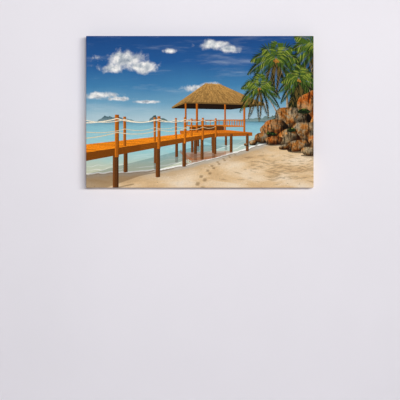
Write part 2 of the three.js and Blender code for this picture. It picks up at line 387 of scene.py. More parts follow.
class Picture:
    """Shapes in painter's order, and spare points for the mesh."""

    def __init__(self):
        self.shapes = []
        self.extra_points = []

    def lay(self, outline, kind, ink):
        self.shapes.append(Shape([np.array(outline, float)], kind, ink, None))

    def lay_even(self, outline, kind, colour, alpha=1.0):
        self.lay(outline, kind, even_ink(colour, alpha))

    def tint(self, outlines, colour, alpha, only=None):
        outlines = [np.array(outline, float) for outline in outlines]
        self.shapes.append(Shape(outlines, None, even_ink(colour, alpha), only))

    def lay_blob(self, centre, radii, kind, ink, seed, rough=0.12, points=26, square=2.0, tilt=0.0):
        outline = []
        for k in range(points):
            angle = 2 * math.pi * k / points
            c, s = math.cos(angle), math.sin(angle)
            reach = (abs(c) ** square + abs(s) ** square) ** (-1 / square)
            reach *= 1 + rough * noise.noise(Vector((c * 1.3, s * 1.3, seed * 7.31)))
            x, z = c * reach * radii[0], s * reach * radii[1]
            right = centre[0] + x * math.cos(tilt) - z * math.sin(tilt)
            outline.append((right, centre[1] + x * math.sin(tilt) + z * math.cos(tilt)))
        self.lay(outline, kind, ink)

    def fill_points(self, low, high, spacing, rng):
        """Spare mesh points, so that a shading that changes across a shape has somewhere to change."""
        x = low[0]
        while x < high[0]:
            z = low[1]
            while z < high[1]:
                off = spacing * 0.3
                self.extra_points.append((x + rng.uniform(-off, off), z + rng.uniform(-off, off)))
                z += spacing
            x += spacing


# The pictured shoreline on the print, from left to right
SHORE = (
    (-640, -272), (-511, -256), (-400, -246), (-280, -242), (-160, -232), (-60, -214), (40, -190),
    (130, -166), (200, -146), (262, -126), (330, -106), (410, -94), (520, -86), (640, -80),
)


def paint_ground(picture):
    """Sky, sea, low islands, a wooded headland, and the beach with its foam and wet band."""
    clear = even_ink(np.zeros(3), 0.0)
    wide = PICTURE_WIDE
    for kind, low, high in (("sky", HORIZON, PICTURE_HIGH), ("sea", -PICTURE_HIGH, HORIZON)):
        picture.lay([(-wide, low), (wide, low), (wide, high), (-wide, high)], kind, clear)
    # From, to, height, colour of the top, and seed of the outline
    islands = (
        (-412, -300, 20, "#44626B", 1.3), (-322, -262, 9, "#5F808A", 2.1), (-205, -168, 24, "#263F3C", 3.7),
        (-176, -128, 11, "#3A5652", 4.2), (148, 640, 30, "#4C6A62", 5.9), (236, 640, 44, "#2C4026", 7.4),
    )
    for left, right, height, code, seed in islands:
        top = colour_of(code)
        foot = top * 0.5 + colour_of("#9DB4B8") * 0.5
        ridge = []
        steps = max(10, round((right - left) / 3.5))
        for k in range(steps + 1):
            share = k / steps
            x = left + (right - left) * share
            dome = math.sin(math.pi * min(share * (1 if right < 500 else 0.6), 1)) ** 0.6
            rise = 1 + 0.55 * noise.fractal(Vector((x / 26, seed, 0)), 0.9, 2.0, 5)
            ridge.append((x, HORIZON + height * dome * rise))

        def hazy(x, z, top=top, foot=foot, height=height):
            up = np.clip((z - HORIZON) / height, 0, 1)[:, None]
            return np.concatenate([foot * (1 - up) + top * up, np.ones_like(up)], 1)

        picture.lay([(left, HORIZON - 0.6)] + ridge + [(right, HORIZON - 0.6)], "motif", hazy)
        mirrored = [(x, HORIZON - 0.42 * (z - HORIZON)) for x, z in ridge]
        picture.lay_even([(left, HORIZON)] + mirrored + [(right, HORIZON)], None, top, 0.42)
    shore = ragged(SHORE, 7, 3.4, 11.0, 34)
    below = [(SHORE[-1][0], -PICTURE_HIGH), (SHORE[0][0], -PICTURE_HIGH)]

    def shifted(up, amount, seed, grain):
        return [(x, z + up + amount * noise.noise(Vector((x / grain, seed, 0)))) for x, z in shore]

    # Shallows over pale sand, then two thin lines of foam running in
    for lift in (52, 44, 37, 30, 24, 18, 13, 8, 4):
        picture.lay_even(shifted(lift, 9, 4 + lift * 0.03, 60) + below, None, "#CFC9A8", 0.1)
    for lift, deep, alpha, seed in ((33, 2.0, 0.4, 3.0), (17, 2.6, 0.55, 5.0)):
        upper = shifted(lift, 7, seed, 38)
        lower = shifted(lift - deep, 7 + deep, seed + 0.16, 38)
        picture.lay_even(upper + lower[::-1], None, "#F2F4EE", alpha)
    picture.lay(shore + below, "sand", clear)
    for drop in (44, 36, 29, 23, 17):
        damp = shore + shifted(-drop, 11, 8 - drop * 0.02, 70)[::-1]
        picture.lay_even(damp, None, "#9C8467", 0.13)
    for drop in (17, 12, 8):
        picture.lay_even(shore + shifted(-drop, 7, 9.0, 50)[::-1], None, "#A3B0B2", 0.2)
    foam = shifted(3.4, 2.2, 1.0, 16) + shifted(-2.2, 3.0, 2.0, 13)[::-1]
    shade = shifted(-3.2, 3.0, 2.0, 13) + shifted(-6, 3.4, 2.4, 13)[::-1]
    picture.lay_even(foam, None, "#F6F5EF", 0.86)
    picture.lay_even(shade, None, "#6F5F4A", 0.4)


def rock_ink(centre, radii, seed, lit, dark, tilt=0.0):
    """Shades a boulder as the dome it is, with the sun from the upper left."""
    sun = np.array([-0.56, 0.62, 0.55])

    def ink(x, z):
        across = (x - centre[0]) * math.cos(tilt) + (z - centre[1]) * math.sin(tilt)
        up = -(x - centre[0]) * math.sin(tilt) + (z - centre[1]) * math.cos(tilt)
        p = across / radii[0]
        q = up / radii[1]
        lumps = [
            [noise.fractal(Vector((a / 22, b / 22, start)), 0.9, 2.0, 4) for a, b in zip(x, z)]
            for start in (seed, seed + 9)
        ]
        towards = np.sqrt(np.clip(1 - p * p - q * q, 0.02, 1))
        normal = np.stack([p + 0.7 * np.array(lumps[0]), towards, q + 0.7 * np.array(lumps[1])], 1)
        normal /= np.linalg.norm(normal, axis=1)[:, None]
        share = smooth(normal @ sun * 0.85 + 0.08)[:, None]
        share = share * (1 - 0.55 * smooth((-q - 0.25) / 0.8)[:, None])
        return np.concatenate([dark * (1 - share) + lit * share, np.ones_like(share)], 1)

    return ink


def paint_leaf_mound(picture, rng, centre, radii, count, codes, dab=8.0):
    """Shrubs as dabs of leaves, dark ones behind and low, bright ones in front and high."""
    core = (radii[0] * 0.9, radii[1] * 0.85)
    picture.lay_blob(centre, core, "motif", even_ink(codes[0]), rng.random() * 50, 0.4, 40)
    for k in range(count):
        angle = rng.uniform(0, 2 * math.pi)
        reach = math.sqrt(rng.random())
        x = centre[0] + radii[0] * reach * math.cos(angle)
        z = centre[1] + radii[1] * reach * math.sin(angle)
        height = (z - centre[1]) / radii[1] * 0.5 + 0.5
        lit = np.clip(0.15 + 0.7 * height * rng.uniform(0.5, 1.25), 0, 0.999)
        colour = colour_of(codes[int(len(codes) * lit)]) * rng.uniform(0.8, 1.2)
        turn = rng.uniform(-0.8, 0.8)
        long = dab * rng.uniform(0.7, 1.3)
        c, s = long * math.cos(turn), long * math.sin(turn)
        leaf = [(-0.5, 0), (-0.1, 0.3), (0.5, 0.08), (0.12, -0.26)]
        picture.lay_even([(x + a * c - b * s, z + a * s + b * c) for a, b in leaf], "motif", colour)


def paint_palm(picture, rng, foot, crown, bow, size, codes):
    """A coconut palm: a ringed trunk, a crown of feathered leaves and a few nuts."""
    foot, crown = np.array(foot, float), np.array(crown, float)
    middle = (foot + crown) / 2 + np.array([bow, 0])
    steps = 16
    line = []
    for k in range(steps + 1):
        share = k / steps
        line.append(foot * (1 - share) ** 2 + middle * 2 * share * (1 - share) + crown * share * share)
    wide = [size * (0.055 + 0.05 * (1 - k / steps) ** 3) for k in range(steps + 1)]
    lit, dark = colour_of("#B9A283"), colour_of("#4A3828")
    for start, end, shade in ((-1, -0.35, 0.92), (-0.35, 0.3, 0.6), (0.3, 1, 0.12)):
        for k in range(steps):
            ring = 1 + 0.16 * ((k % 2) - 0.5)
            colour = (dark * (1 - shade) + lit * shade) * ring
            corners = ((k, start), (k, end), (k + 1, end), (k + 1, start))
            strip = [(line[n][0] + side * wide[n] / 2, line[n][1]) for n, side in corners]
            picture.lay_even(strip, "motif", colour)
    leaves = (268, 300, 240, -28, 208, 6, 180, 30, 152, 58, 124, 88)
    for order, angle in enumerate([math.radians(a + rng.uniform(-7, 7)) for a in leaves]):
        length = size * rng.uniform(0.86, 1.08)
        droop = 0.42 + 0.2 * abs(math.cos(angle)) + rng.uniform(-0.06, 0.06)
        old = math.sin(angle) < -0.6
        spine = []
        parts = 12
        for k in range(parts + 1):
            share = k / parts
            fall = droop * share**2.1
            along = np.array([math.cos(angle) * share, math.sin(angle) * share - fall])
            spine.append(crown + length * along)
        for k in range(1, parts + 1):
            share = k / parts
            tangent = spine[k] - spine[k - 1]
            tangent /= np.linalg.norm(tangent)
            for half in (0, 0.5):
                root = spine[k - 1] * half + spine[k] * (1 - half)
                for side in (-1, 1):
                    turn = side * math.radians(62 - 30 * share)
                    c, s = math.cos(turn), math.sin(turn)
                    way = np.array([tangent[0] * c - tangent[1] * s, tangent[0] * s + tangent[1] * c - 0.45])
                    way /= np.linalg.norm(way)
                    full = math.sin(math.pi * (0.14 + 0.8 * share)) ** 0.8
                    reach = size * 0.36 * full * rng.uniform(0.85, 1.1)
                    across = np.array([-way[1], way[0]]) * size * 0.02
                    tip = root + way * reach + np.array([0, -0.09 * reach])
                    belly = root + way * reach * 0.4
                    code = codes[0]
                    if not old:
                        lit = order / 5 - side * math.cos(angle) * 0.7 + rng.uniform(-0.9, 0.8)
                        code = codes[min(max(round(lit), 0), len(codes) - 1)]
                    elif rng.random() < 0.6:
                        code = "#5A4A22"
                    colour = colour_of(code) * rng.uniform(0.85, 1.15)
                    picture.lay_even([root, belly - across, tip, belly + across], "motif", colour)
        up = np.array([0, size * 0.008])
        rib = [p + up for p in spine[::3]] + [p - up for p in spine[::-3]]
        picture.lay_even(rib, "motif", colour_of("#77743A") * (0.6 if old else 1.0))
    for k in range(6):
        nut = crown + np.array([rng.uniform(-0.09, 0.09), rng.uniform(-0.13, -0.02)]) * size
        husk = even_ink(colour_of("#A8742C") * rng.uniform(0.6, 1.1))
        picture.lay_blob(nut, (size * 0.035, size * 0.042), "motif", husk, k + size, 0.05, 8)


def paint_point(picture, rng):
    """The rocky point on the right: boulders, shrubs between them and palms behind."""
    deep, mid, fresh, bright = "#10180A", "#233514", "#41591D", "#7D8A32"
    greens = (deep, mid, fresh, bright)
    picture.fill_points((190, -186), (512, 92), 7.5, rng)
    for centre, radii, count in (((486, 30), (128, 100), 420), ((412, -50), (112, 54), 160)):
        paint_leaf_mound(picture, rng, centre, radii, count, (deep, deep, mid, fresh), 9)
    palms = (
        ((447, 10), (470, 262), -22, 124), ((352, 4), (306, 214), 26, 116),
        ((505, -10), (560, 150), -14, 118), ((410, -10), (398, 132), 14, 92),
        ((318, -30), (240, 96), 22, 84),
    )
    for foot, crown, bow, size in palms:
        paint_palm(picture, rng, foot, crown, bow, size, greens)
    paint_leaf_mound(picture, rng, (420, -8), (66, 34), 90, greens, 8)
    paint_leaf_mound(picture, rng, (330, -48), (54, 26), 70, greens, 7)
    grey, sand_grey, orange = colour_of("#BDB3A4"), colour_of("#D6C8B0"), colour_of("#D0A67C")
    black, brown = colour_of("#1A1510"), colour_of("#3A2A1C")
    # Centre, radii, tilt, lit colour, dark colour
    boulders = (
        ((462, 24), (74, 66), 0.15, orange, black), ((372, -34), (70, 56), -0.2, grey, black),
        ((508, -48), (66, 58), 0.1, sand_grey, brown), ((300, -70), (52, 40), 0.12, orange, black),
        ((432, -88), (72, 46), -0.08, grey, black), ((354, -102), (44, 30), 0.2, sand_grey, brown),
        ((250, -106), (32, 21), -0.1, grey, black), ((298, -116), (34, 18), 0.05, orange, brown),
        ((490, -126), (60, 38), 0.0, orange, black), ((396, -138), (48, 24), 0.1, grey, brown),
        ((214, -124), (17, 10), 0.0, sand_grey, black), ((446, -160), (38, 18), -0.1, sand_grey, brown),
        ((340, -142), (22, 10), 0.1, grey, brown), ((186, -132), (9, 5), 0.0, grey, black),
    )
    for number, (centre, radii, tilt, lit, dark) in enumerate(boulders):
        foot = (centre[0] + radii[0] * 0.15, centre[1] - radii[1] * 0.86)
        shade = even_ink("#1E160E", 0.75)
        picture.lay_blob(foot, (radii[0] * 1.12, radii[1] * 0.3), None, shade, number, 0.2, 20)
        ink = rock_ink(centre, radii, number * 3.3, lit, dark, tilt)
        picture.lay_blob(centre, radii, "rock", ink, number + 0.5, 0.22, 34, 2.5, tilt)
    tufts = (
        ((420, 2), (26, 12), 26), ((286, -88), (20, 9), 20),
        ((486, -84), (30, 12), 30), ((368, -74), (18, 8), 18),
    )
    for centre, radii, count in tufts:
        paint_leaf_mound(picture, rng, centre, radii, count, greens, 6)


# Light on the pictured timber: on every face, from the sky on faces that look up, and from the sun
ALL_ROUND = 0.3
FROM_SKY = 0.16
FROM_SUN = 0.86


class Building:
    """Faces of what stands on the pictured beach, in metres, laid down from the farthest to the nearest."""

    def __init__(self):
        self.faces = []
        self.every_face = []

    def face(self, corners, colour, nearer=0.0):
        corners = [Vector(c) for c in corners]
        self.every_face.append(corners)
        normal = (corners[1] - corners[0]).cross(corners[2] - corners[0])
        if normal.length < 1e-9:
            return
        normal.normalize()
        middle = sum(corners, Vector()) / len(corners)
        if normal.dot(middle - Vector((0, 0, EYE_HEIGHT))) >= 0:
            return
        light = ALL_ROUND + FROM_SKY * normal.z + FROM_SUN * max(0.0, normal.dot(SUN))
        self.faces.append((middle.length - nearer, corners, colour * light))

    def block(self, middle, size, yaw, colour, nearer=0.0):
        """A box round middle, turned about the vertical."""
        c, s = math.cos(yaw), math.sin(yaw)
        corner = {}
        for i in (-1, 1):
            for j in (-1, 1):
                for k in (-1, 1):
                    x, y, z = i * size[0] / 2, j * size[1] / 2, k * size[2] / 2
                    corner[i, j, k] = (middle[0] + x * c - y * s, middle[1] + x * s + y * c, middle[2] + z)
        sides = (
            ((-1, -1, -1), (1, -1, -1), (1, -1, 1), (-1, -1, 1)),
            ((1, 1, -1), (-1, 1, -1), (-1, 1, 1), (1, 1, 1)),
            ((1, -1, -1), (1, 1, -1), (1, 1, 1), (1, -1, 1)),
            ((-1, 1, -1), (-1, -1, -1), (-1, -1, 1), (-1, 1, 1)),
            ((-1, -1, 1), (1, -1, 1), (1, 1, 1), (-1, 1, 1)),
            ((-1, 1, -1), (1, 1, -1), (1, -1, -1), (-1, -1, -1)),
        )
        for side in sides:
            self.face([corner[key] for key in side], colour, nearer)

    def post(self, foot, height, radius, colour, nearer=0.0):
        ring = [(math.cos(a) * radius, math.sin(a) * radius) for a in [k * math.pi / 4 for k in range(8)]]
        for a, b in round_pairs(ring):
            corners = ((a, 0), (b, 0), (b, height), (a, height))
            stave = [(foot[0] + p[0], foot[1] + p[1], foot[2] + up) for p, up in corners]
            self.face(stave, colour, nearer)

    def far_first(self):
        return sorted(self.faces, key=lambda face: -face[0])

    def lay_on(self, picture):
        for _, corners, colour in self.far_first():
            picture.lay_even([cast(c) for c in corners], "motif", colour)

    def mirror_on(self, picture, alpha):
        """The same faces upside down in the water, darker and broken by ripples."""
        for _, corners, colour in self.far_first():
            below = [cast((c.x, c.y, -max(c.z, 0))) for c in corners]
            rough = ragged(below + below[:1], 3, 0, 0, 20)[:-1]
            wavy = []
            for x, z in rough:
                reach = min(1, abs(z - HORIZON) / 70)
                wavy.append((x + 2.2 * reach * math.sin(z * 0.9 + x * 0.05), z))
            picture.tint([wavy], colour * 0.7, alpha, "sea")

    def fallen(self):
        """Outlines of the shadow that the faces throw on level ground."""
        outlines = []
        for corners in self.every_face:
            below = [c - SUN * (c.z / SUN.z) for c in corners]
            if min(c.y for c in below) > 2:
                outlines.append([cast(c) for c in below])
        return outlines


def paint_jetty(picture, rng):
    """A plank jetty that runs out from the lower left to a thatched shelter on stilts."""
    start, end = Vector((-3.45, 5.6, 0)), Vector((0.35, 13.4, 0))
    way = (end - start).normalized()
    across = Vector((way.y, -way.x, 0))
    deck, half = DECK, 0.85
    orange, amber, brown = colour_of("#F28A18"), colour_of("#D9781A"), colour_of("#74431C")
    made = Building()
    length = (end - start).length
    at = -RUN_BACK
    while at < length:
        near, far = start + way * at, start + way * (at + 0.135)
        tone = rng.uniform(0.72, 1.12)
        a, b, c, d = near - across * half, near + across * half, far + across * half, far - across * half
        made.face([(p.x, p.y, deck) for p in (a, b, c, d)], orange * tone)
        at += 0.15
    dark_gap = Building()
    a, b, side = start - way * RUN_BACK, end, across * half
    dark_gap.face([(p.x, p.y, deck - 0.01) for p in (a - side, a + side, b + side, b - side)], brown * 0.35)
    edge = start - way * RUN_BACK + across * (half + 0.04)
    stop = end + across * (half + 0.04)
    beam = Building()
    steps = 14
    for k in range(steps):
        p, q = edge.lerp(stop, k / steps), edge.lerp(stop, (k + 1) / steps)
        low, top = deck - 0.2, deck + 0.02
        corners = [(p.x, p.y, low), (q.x, q.y, low), (q.x, q.y, top), (p.x, p.y, top)]
        beam.face(corners, amber * rng.uniform(0.85, 1.1))
    stilts = Building()
    rails = Building()
    tops = {-1: [], 1: []}
    for k in range(-1, 5):
        at = start + way * (0.6 + k * 1.95)
        for side in (-1, 1):
            foot = at + across * side * (half - 0.02)
            stilts.post((foot.x, foot.y, -0.4), deck + 0.2, 0.085, brown * 1.2)
            foot = at + across * side * (half + 0.03)
            rails.post((foot.x, foot.y, deck - 0.25), 1.22, 0.06, amber)
            tops[side].append(Vector((foot.x, foot.y, deck + 0.86)))
    beam.mirror_on(picture, 0.4)
    stilts.mirror_on(picture, 0.45)
    shadow = dark_gap.fallen() + stilts.fallen() + rails.fallen()
    picture.tint(shadow, "#6E5638", 0.55, "sand")
    picture.tint(dark_gap.fallen(), "#1F4A52", 0.38, "sea")
    return {"gap": dark_gap, "planks": made, "beam": beam, "stilts": stilts, "rails": rails, "tops": tops}


def lay_rope(picture, a, b, sag, thick, colour):
    """A rope that hangs between two points of the pictured beach."""
    upper, lower = [], []
    parts = 10
    for k in range(parts + 1):
        share = k / parts
        p = a.lerp(b, share)
        p.z -= sag * 4 * share * (1 - share)
        x, z = cast(p)
        wide = SIGHT * thick / p.y
        upper.append((x, z + wide / 2))
        lower.append((x, z - wide / 2))
    picture.lay_even(upper + lower[::-1], "motif", colour)


def paint_shelter(picture, rng):
    """The thatched shelter at the jetty's end, from its stilts up, and the rails in front of it."""
    orange, amber, brown = colour_of("#F28A18"), colour_of("#CC6E18"), colour_of("#74431C")
    straw, straw_dark = colour_of("#C99A55"), colour_of("#5E4020")
    middle, yaw, deck = Vector((1.0, 15.2, 0)), math.radians(17), DECK
    c, s = math.cos(yaw), math.sin(yaw)

    def turned(x, y, z):
        return (middle.x + x * c - y * s, middle.y + x * s + y * c, z)

    base = Building()
    for x in (-1.9, -0.65, 0.65, 1.9):
        for y in (-1.8, 1.8):
            base.post(turned(x, y, -0.4), deck + 0.3, 0.1, brown * 1.1)
    base.block(turned(0, 0, deck - 0.12), (4.3, 4.1, 0.24), yaw, amber, -1)
    inside = Building()
    for x in (-1.75, 1.75):
        for y in (1.65, -1.65):
            inside.post(turned(x, y, deck), 2.25, 0.075, amber, 0.3)
    # Two rails on each side: middle, size and tone
    rails = (
        (0, 1.68, 3.6, 0.07, 0.8), (-1.72, 0, 0.07, 3.4, 0.8),
        (1.72, 0, 0.07, 3.4, 0.9), (0.95, -1.68, 1.6, 0.07, 1),
    )
    for z in (0.42, 0.86):
        for x, y, wide, deep, tone in rails:
            inside.block(turned(x, y, deck + z), (wide, deep, 0.08), yaw, orange * tone)
    for k in range(9):
        inside.block(turned(0.2 + k * 0.19, -1.68, deck + 0.64), (0.045, 0.045, 0.42), yaw, orange)
        inside.block(turned(-1.6 + k * 0.4, 1.68, deck + 0.64), (0.045, 0.045, 0.42), yaw, orange * 0.7)
    inside.block(turned(0, 1.35, deck + 0.42), (3.2, 0.4, 0.09), yaw, orange)
    inside.block(turned(0, 1.35, deck + 0.2), (3.0, 0.1, 0.36), yaw, brown)
    top, rise = 0.62, 4.55
    wide, deep = 2.75, 2.55
    eaves = deck + 1.86
    below = Building()
    low = [turned(i * wide, j * deep, eaves) for i, j in ((-1, 1), (1, 1), (1, -1), (-1, -1))]
    below.face(low, colour_of("#3A2412") * 2.2)
    roof = Building()
    edge = [turned(i * wide, j * deep, deck + 1.98) for i, j in ((-1, -1), (1, -1), (1, 1), (-1, 1))]
    ridge = [turned(-top, 0, rise), turned(top, 0, rise)]
    roof.face([edge[0], edge[1], ridge[1], ridge[0]], straw_dark)
    roof.face([edge[1], edge[2], ridge[1]], straw_dark * 0.7)
    roof.face([edge[3], edge[0], ridge[0]], straw_dark)
    for a, b in round_pairs(edge):
        under = [(p[0], p[1], eaves) for p in (a, b)]
        roof.face([*under, b, a], straw * 0.5)
    for group in (roof, below, inside, base):
        group.mirror_on(picture, 0.45)
    picture.tint(roof.fallen(), "#1F4A52", 0.25, "sea")
    picture.tint(roof.fallen() + inside.fallen(), "#6E5638", 0.5, "sand")
    for group in (base, below, inside, roof):
        group.lay_on(picture)
    # Courses of straw, each tuft a little out of line with the last
    for a, b, d, e, tufts, tone in (
        (edge[0], edge[1], ridge[0], ridge[1], 58, 1.0),
        (edge[1], edge[2], ridge[1], ridge[1], 34, 0.62),
        (edge[3], edge[0], ridge[0], ridge[0], 34, 1.15),
    ):
        a, b, d, e = (Vector(v) for v in (a, b, d, e))
        if (b - a).cross(d - a).dot(a - Vector((0, 0, EYE_HEIGHT))) >= 0:
            continue
        courses = 9
        for row in range(courses - 1, -1, -1):
            # From the ridge down, so that a lower course tucks under the one above
            low_share = (courses - 1 - row) / courses
            high_share = low_share + 1.35 / courses
            for k in range(tufts):
                share = (k + rng.uniform(-0.3, 0.3)) / tufts
                span = rng.uniform(0.9, 1.5) / tufts
                droop = rng.uniform(0.01, 0.05)
                left, right = min(max(share, 0), 1), min(share + span, 1)
                tuft = (
                    (left, low_share - droop), (right, low_share - droop * 0.6),
                    (right, high_share), (left, high_share),
                )
                corners = []
                for along, up in tuft:
                    corners.append(cast(a.lerp(b, along).lerp(d.lerp(e, along), min(up, 1))))
                light = tone * rng.uniform(0.62, 1.15) * (0.72 + 0.46 / courses + 0.25 * low_share)
                mixed = straw * 0.75 + colour_of("#A9743A") * 0.25 * rng.random()
                picture.lay_even(corners, "motif", mixed * light)
    for k in range(16):
        x, z = cast(Vector(ridge[0]).lerp(Vector(ridge[1]), k / 15))
        tip = (x + 1.5 + rng.uniform(-2, 2), z + rng.uniform(2, 5))
        picture.lay_even([(x - 3, z - 4), (x + 3, z - 5), tip], "motif", straw * rng.uniform(0.6, 1.0))


def paint_sand_finds(picture, rng):
    """Footprints along the beach, pebbles and shells, and the broken shade of the palms."""
    shade = []
    for k in range(150):
        x, z = 360 + 95 * rng.gauss(0, 1), -226 + 24 * rng.gauss(0, 1)
        long, high = rng.uniform(8, 26), rng.uniform(1.2, 3.2)
        lean = rng.uniform(-0.28, 0.28)
        ends = (x - long, z - lean * long), (x + long, z + lean * long)
        shade.append([ends[0], (x, z + high), ends[1], (x, z - high)])
    picture.tint(shade, "#7C6448", 0.42, "sand")
    walk = [(-0.15 + 0.03 * k + 0.012 * k * k * 0.5, 4.7 + 0.36 * k) for k in range(16)]
    for number, (x, y) in enumerate(walk):
        x += 0.16 * (number % 2) + rng.uniform(-0.03, 0.03)
        # Each step is a soft hollow, drawn as outlines one in the other
        for share, code in ((1.0, "#9A7E5A"), (0.78, "#8A6E4C"), (0.5, "#6A5236")):
            hollow = []
            for k in range(16):
                angle = 2 * math.pi * k / 16
                wide = 0.08 * share * (1 - 0.25 * math.cos(2 * angle + 0.6))
                deep = 0.19 * share * math.sin(angle) - 0.06 * (1 - share)
                hollow.append(cast((x + wide * math.cos(angle), y + deep, 0)))
            picture.tint([hollow], code, 0.32, "sand")
    for k in range(90):
        x, z = rng.uniform(-440, 455), rng.uniform(-300, -150)
        size = rng.uniform(0.5, 1.6) * (1 + (-150 - z) / 110)
        code = rng.choice(("#6B5844", "#F0E6D2", "#8E7A60", "#4B3D2E"))
        pebble = [(x - size, z), (x, z + size * 0.55), (x + size, z), (x, z - size * 0.5)]
        picture.tint([pebble], code, 0.8, "sand")


def paint_picture():
    rng = random.Random(41)
    picture = Picture()
    paint_ground(picture)
    paint_sand_finds(picture, rng)
    jetty = paint_jetty(picture, rng)
    paint_shelter(picture, rng)
    for name in ("stilts", "beam", "gap", "planks", "rails"):
        jetty[name].lay_on(picture)
    for side in (-1, 1):
        tops = jetty["tops"][side]
        for a, b in zip(tops, tops[1:]):
            lay_rope(picture, a, b, 0.12, 0.028, "#EFE3C8")
            low = Vector((0, 0, 0.4))
            lay_rope(picture, a - low, b - low, 0.1, 0.024, "#D9C8A4")
    paint_point(picture, rng)
    return picture


def held_by(outline, points):
    """Even-odd test of many points against one outline."""
    inside = np.zeros(len(points), bool)
    x, z = points[:, 0], points[:, 1]
    ends = np.roll(outline, -1, 0)
    for (x0, z0), (x1, z1) in zip(outline, ends):
        if z0 == z1:
            continue
        crosses = (z0 > z) != (z1 > z)
        inside ^= crosses & (x < (x1 - x0) * (z - z0) / (z1 - z0) + x0)
    return inside


def cut_cloth(points, lines, spare):
    """Faces of the flat cloth, cut along lines of point numbers, with spare points as well."""
    edges = [pair for line in lines for pair in zip(line, line[1:])]
    made = delaunay_2d_cdt([Vector(p) for p in points] + spare, edges, [], 0, 1e-4, False)
    flat = np.array([tuple(p) for p in made[0]])
    faces = np.array([tuple(f) for f in made[2]])
    corners = flat[faces]
    spans = corners - corners[:, :1]
    area = (spans[:, 1, 0] * spans[:, 2, 1] - spans[:, 1, 1] * spans[:, 2, 0]) / 2
    return flat, faces[on_cloth(corners.mean(1)) & (area > 1e-9)]


def numbered(lines):
    """The points of all lines in one list, and each line as their numbers."""
    points, chains = [], []
    for line in lines:
        chains.append(list(range(len(points), len(points) + len(line))))
        points.extend((float(p[0]), float(p[1])) for p in line)
    return points, chains


# The flat cloth in square cells: their size, how many a row is given, and where the first begins
CELL = 14.0
ROW = 1000
CELLS_START = -600


def cell_of(places):
    """Column and row of the cells in which places of the flat cloth lie."""
    return np.floor((places - CELLS_START) / CELL).astype(int)


def cover(picture, middles):
    """For each shape of the picture in turn, the faces whose middles it holds. The cloth's back is bare."""
    over = np.maximum(np.abs(middles) - INNER, 0)
    inked = np.flatnonzero(np.hypot(over[:, 0], over[:, 1]) < REACH)
    # Faces are sorted by their cell, so that a small shape looks at few of them
    cell = cell_of(middles[inked])
    key = cell[:, 1] * ROW + cell[:, 0]
    order = np.argsort(key, kind="stable")
    inked, key = inked[order], key[order]
    places = middles[inked]
    kind = np.full(len(middles), KINDS.index("primed"))
    for shape in picture.shapes:
        inside = np.zeros(len(inked), bool)
        for outline in shape.outlines:
            low = np.maximum(cell_of(outline.min(0)), 0)
            high = np.minimum(cell_of(outline.max(0)), ROW - 1) + 1
            rows = np.arange(low[1], high[1]) * ROW
            starts = np.searchsorted(key, rows + low[0])
            stops = np.searchsorted(key, rows + high[0])
            spans = [np.arange(a, b) for a, b in zip(starts, stops) if b > a]
            if spans:
                near = np.concatenate(spans)
                inside[near[held_by(outline, places[near])]] = True
        found = inked[inside]
        if shape.only:
            found = found[kind[found] == KINDS.index(shape.only)]
        if shape.kind:
            kind[found] = KINDS.index(shape.kind)
        yield shape, found


# The shapes that tinted a face are told apart by a number mixed from theirs
TINT_STEP = 8191
TINT_LIMIT = 1 << 40
# A point that bends a line by less than this, across by along, in millimetres, is dropped
BEND = 0.012


def seen_lines(picture):
    """The parts of the picture's outlines that no later shape covers, joined where they run straight on."""
    outlines = [np.concatenate([o, o[:1]]) for shape in picture.shapes for o in shape.outlines]
    points, chains = numbered(fold_lines() + outlines)
    flat, faces = cut_cloth(points, chains, [])
    owner = np.zeros(len(faces), np.int64)
    for number, (shape, found) in enumerate(cover(picture, flat[faces].mean(1)), 1):
        owner[found] = number if shape.kind else (owner[found] * TINT_STEP + number) % TINT_LIMIT
    sides = {}
    for face, own in zip(faces.tolist(), owner.tolist()):
        for a, b in round_pairs(face):
            sides.setdefault((min(a, b), max(a, b)), []).append(own)
    beside = {}
    for (a, b), own in sides.items():
        if len(own) == 2 and own[0] != own[1]:
            beside.setdefault(a, set()).add(b)
            beside.setdefault(b, set()).add(a)
    for point in list(beside):
        if len(beside[point]) != 2:
            continue
        a, b = beside[point]
        if b in beside[a]:
            continue
        before, after = flat[point] - flat[a], flat[b] - flat[point]
        bend = abs(before[0] * after[1] - before[1] * after[0])
        if bend < BEND * np.linalg.norm(before + after) and before @ after > 0:
            beside[a] ^= {point, b}
            beside[b] ^= {point, a}
            del beside[point]
    return flat, [(a, b) for a in beside for b in beside[a] if a < b]


def printed_faces(picture):
    """The flat cloth cut along its fold lines and what shows of the picture's outlines. Returns its points,
    its faces, each face's kind, and the ink at each face's corners."""
    seen, pairs = seen_lines(picture)
    points, chains = numbered(fold_lines())
    first = len(points)
    points += seen.tolist()
    chains += [(first + a, first + b) for a, b in pairs]
    numbers = sorted({n for chain in chains for n in chain})
    place_of = {n: k for k, n in enumerate(numbers)}
    chains = [[place_of[n] for n in chain] for chain in chains]
    flat, faces = cut_cloth([points[n] for n in numbers], chains, [Vector(p) for p in picture.extra_points])
    corners = flat[faces]
    kind = np.full(len(faces), KINDS.index("primed"))
    ink = np.zeros((len(faces), 3, 4))
    for shape, found in cover(picture, corners.mean(1)):
        places = corners[found].reshape(-1, 2)
        laid = shape.ink(places[:, 0], places[:, 1]).reshape(-1, 3, 4)
        if shape.kind:
            kind[found] = KINDS.index(shape.kind)
            ink[found] = laid
            continue
        old = ink[found]
        top = laid[..., 3:]
        total = top + old[..., 3:] * (1 - top)
        mixed = laid[..., :3] * top + old[..., :3] * old[..., 3:] * (1 - top)
        ink[found] = np.concatenate([mixed / np.maximum(total, 1e-6), total], 2)
    return flat, faces, kind, ink


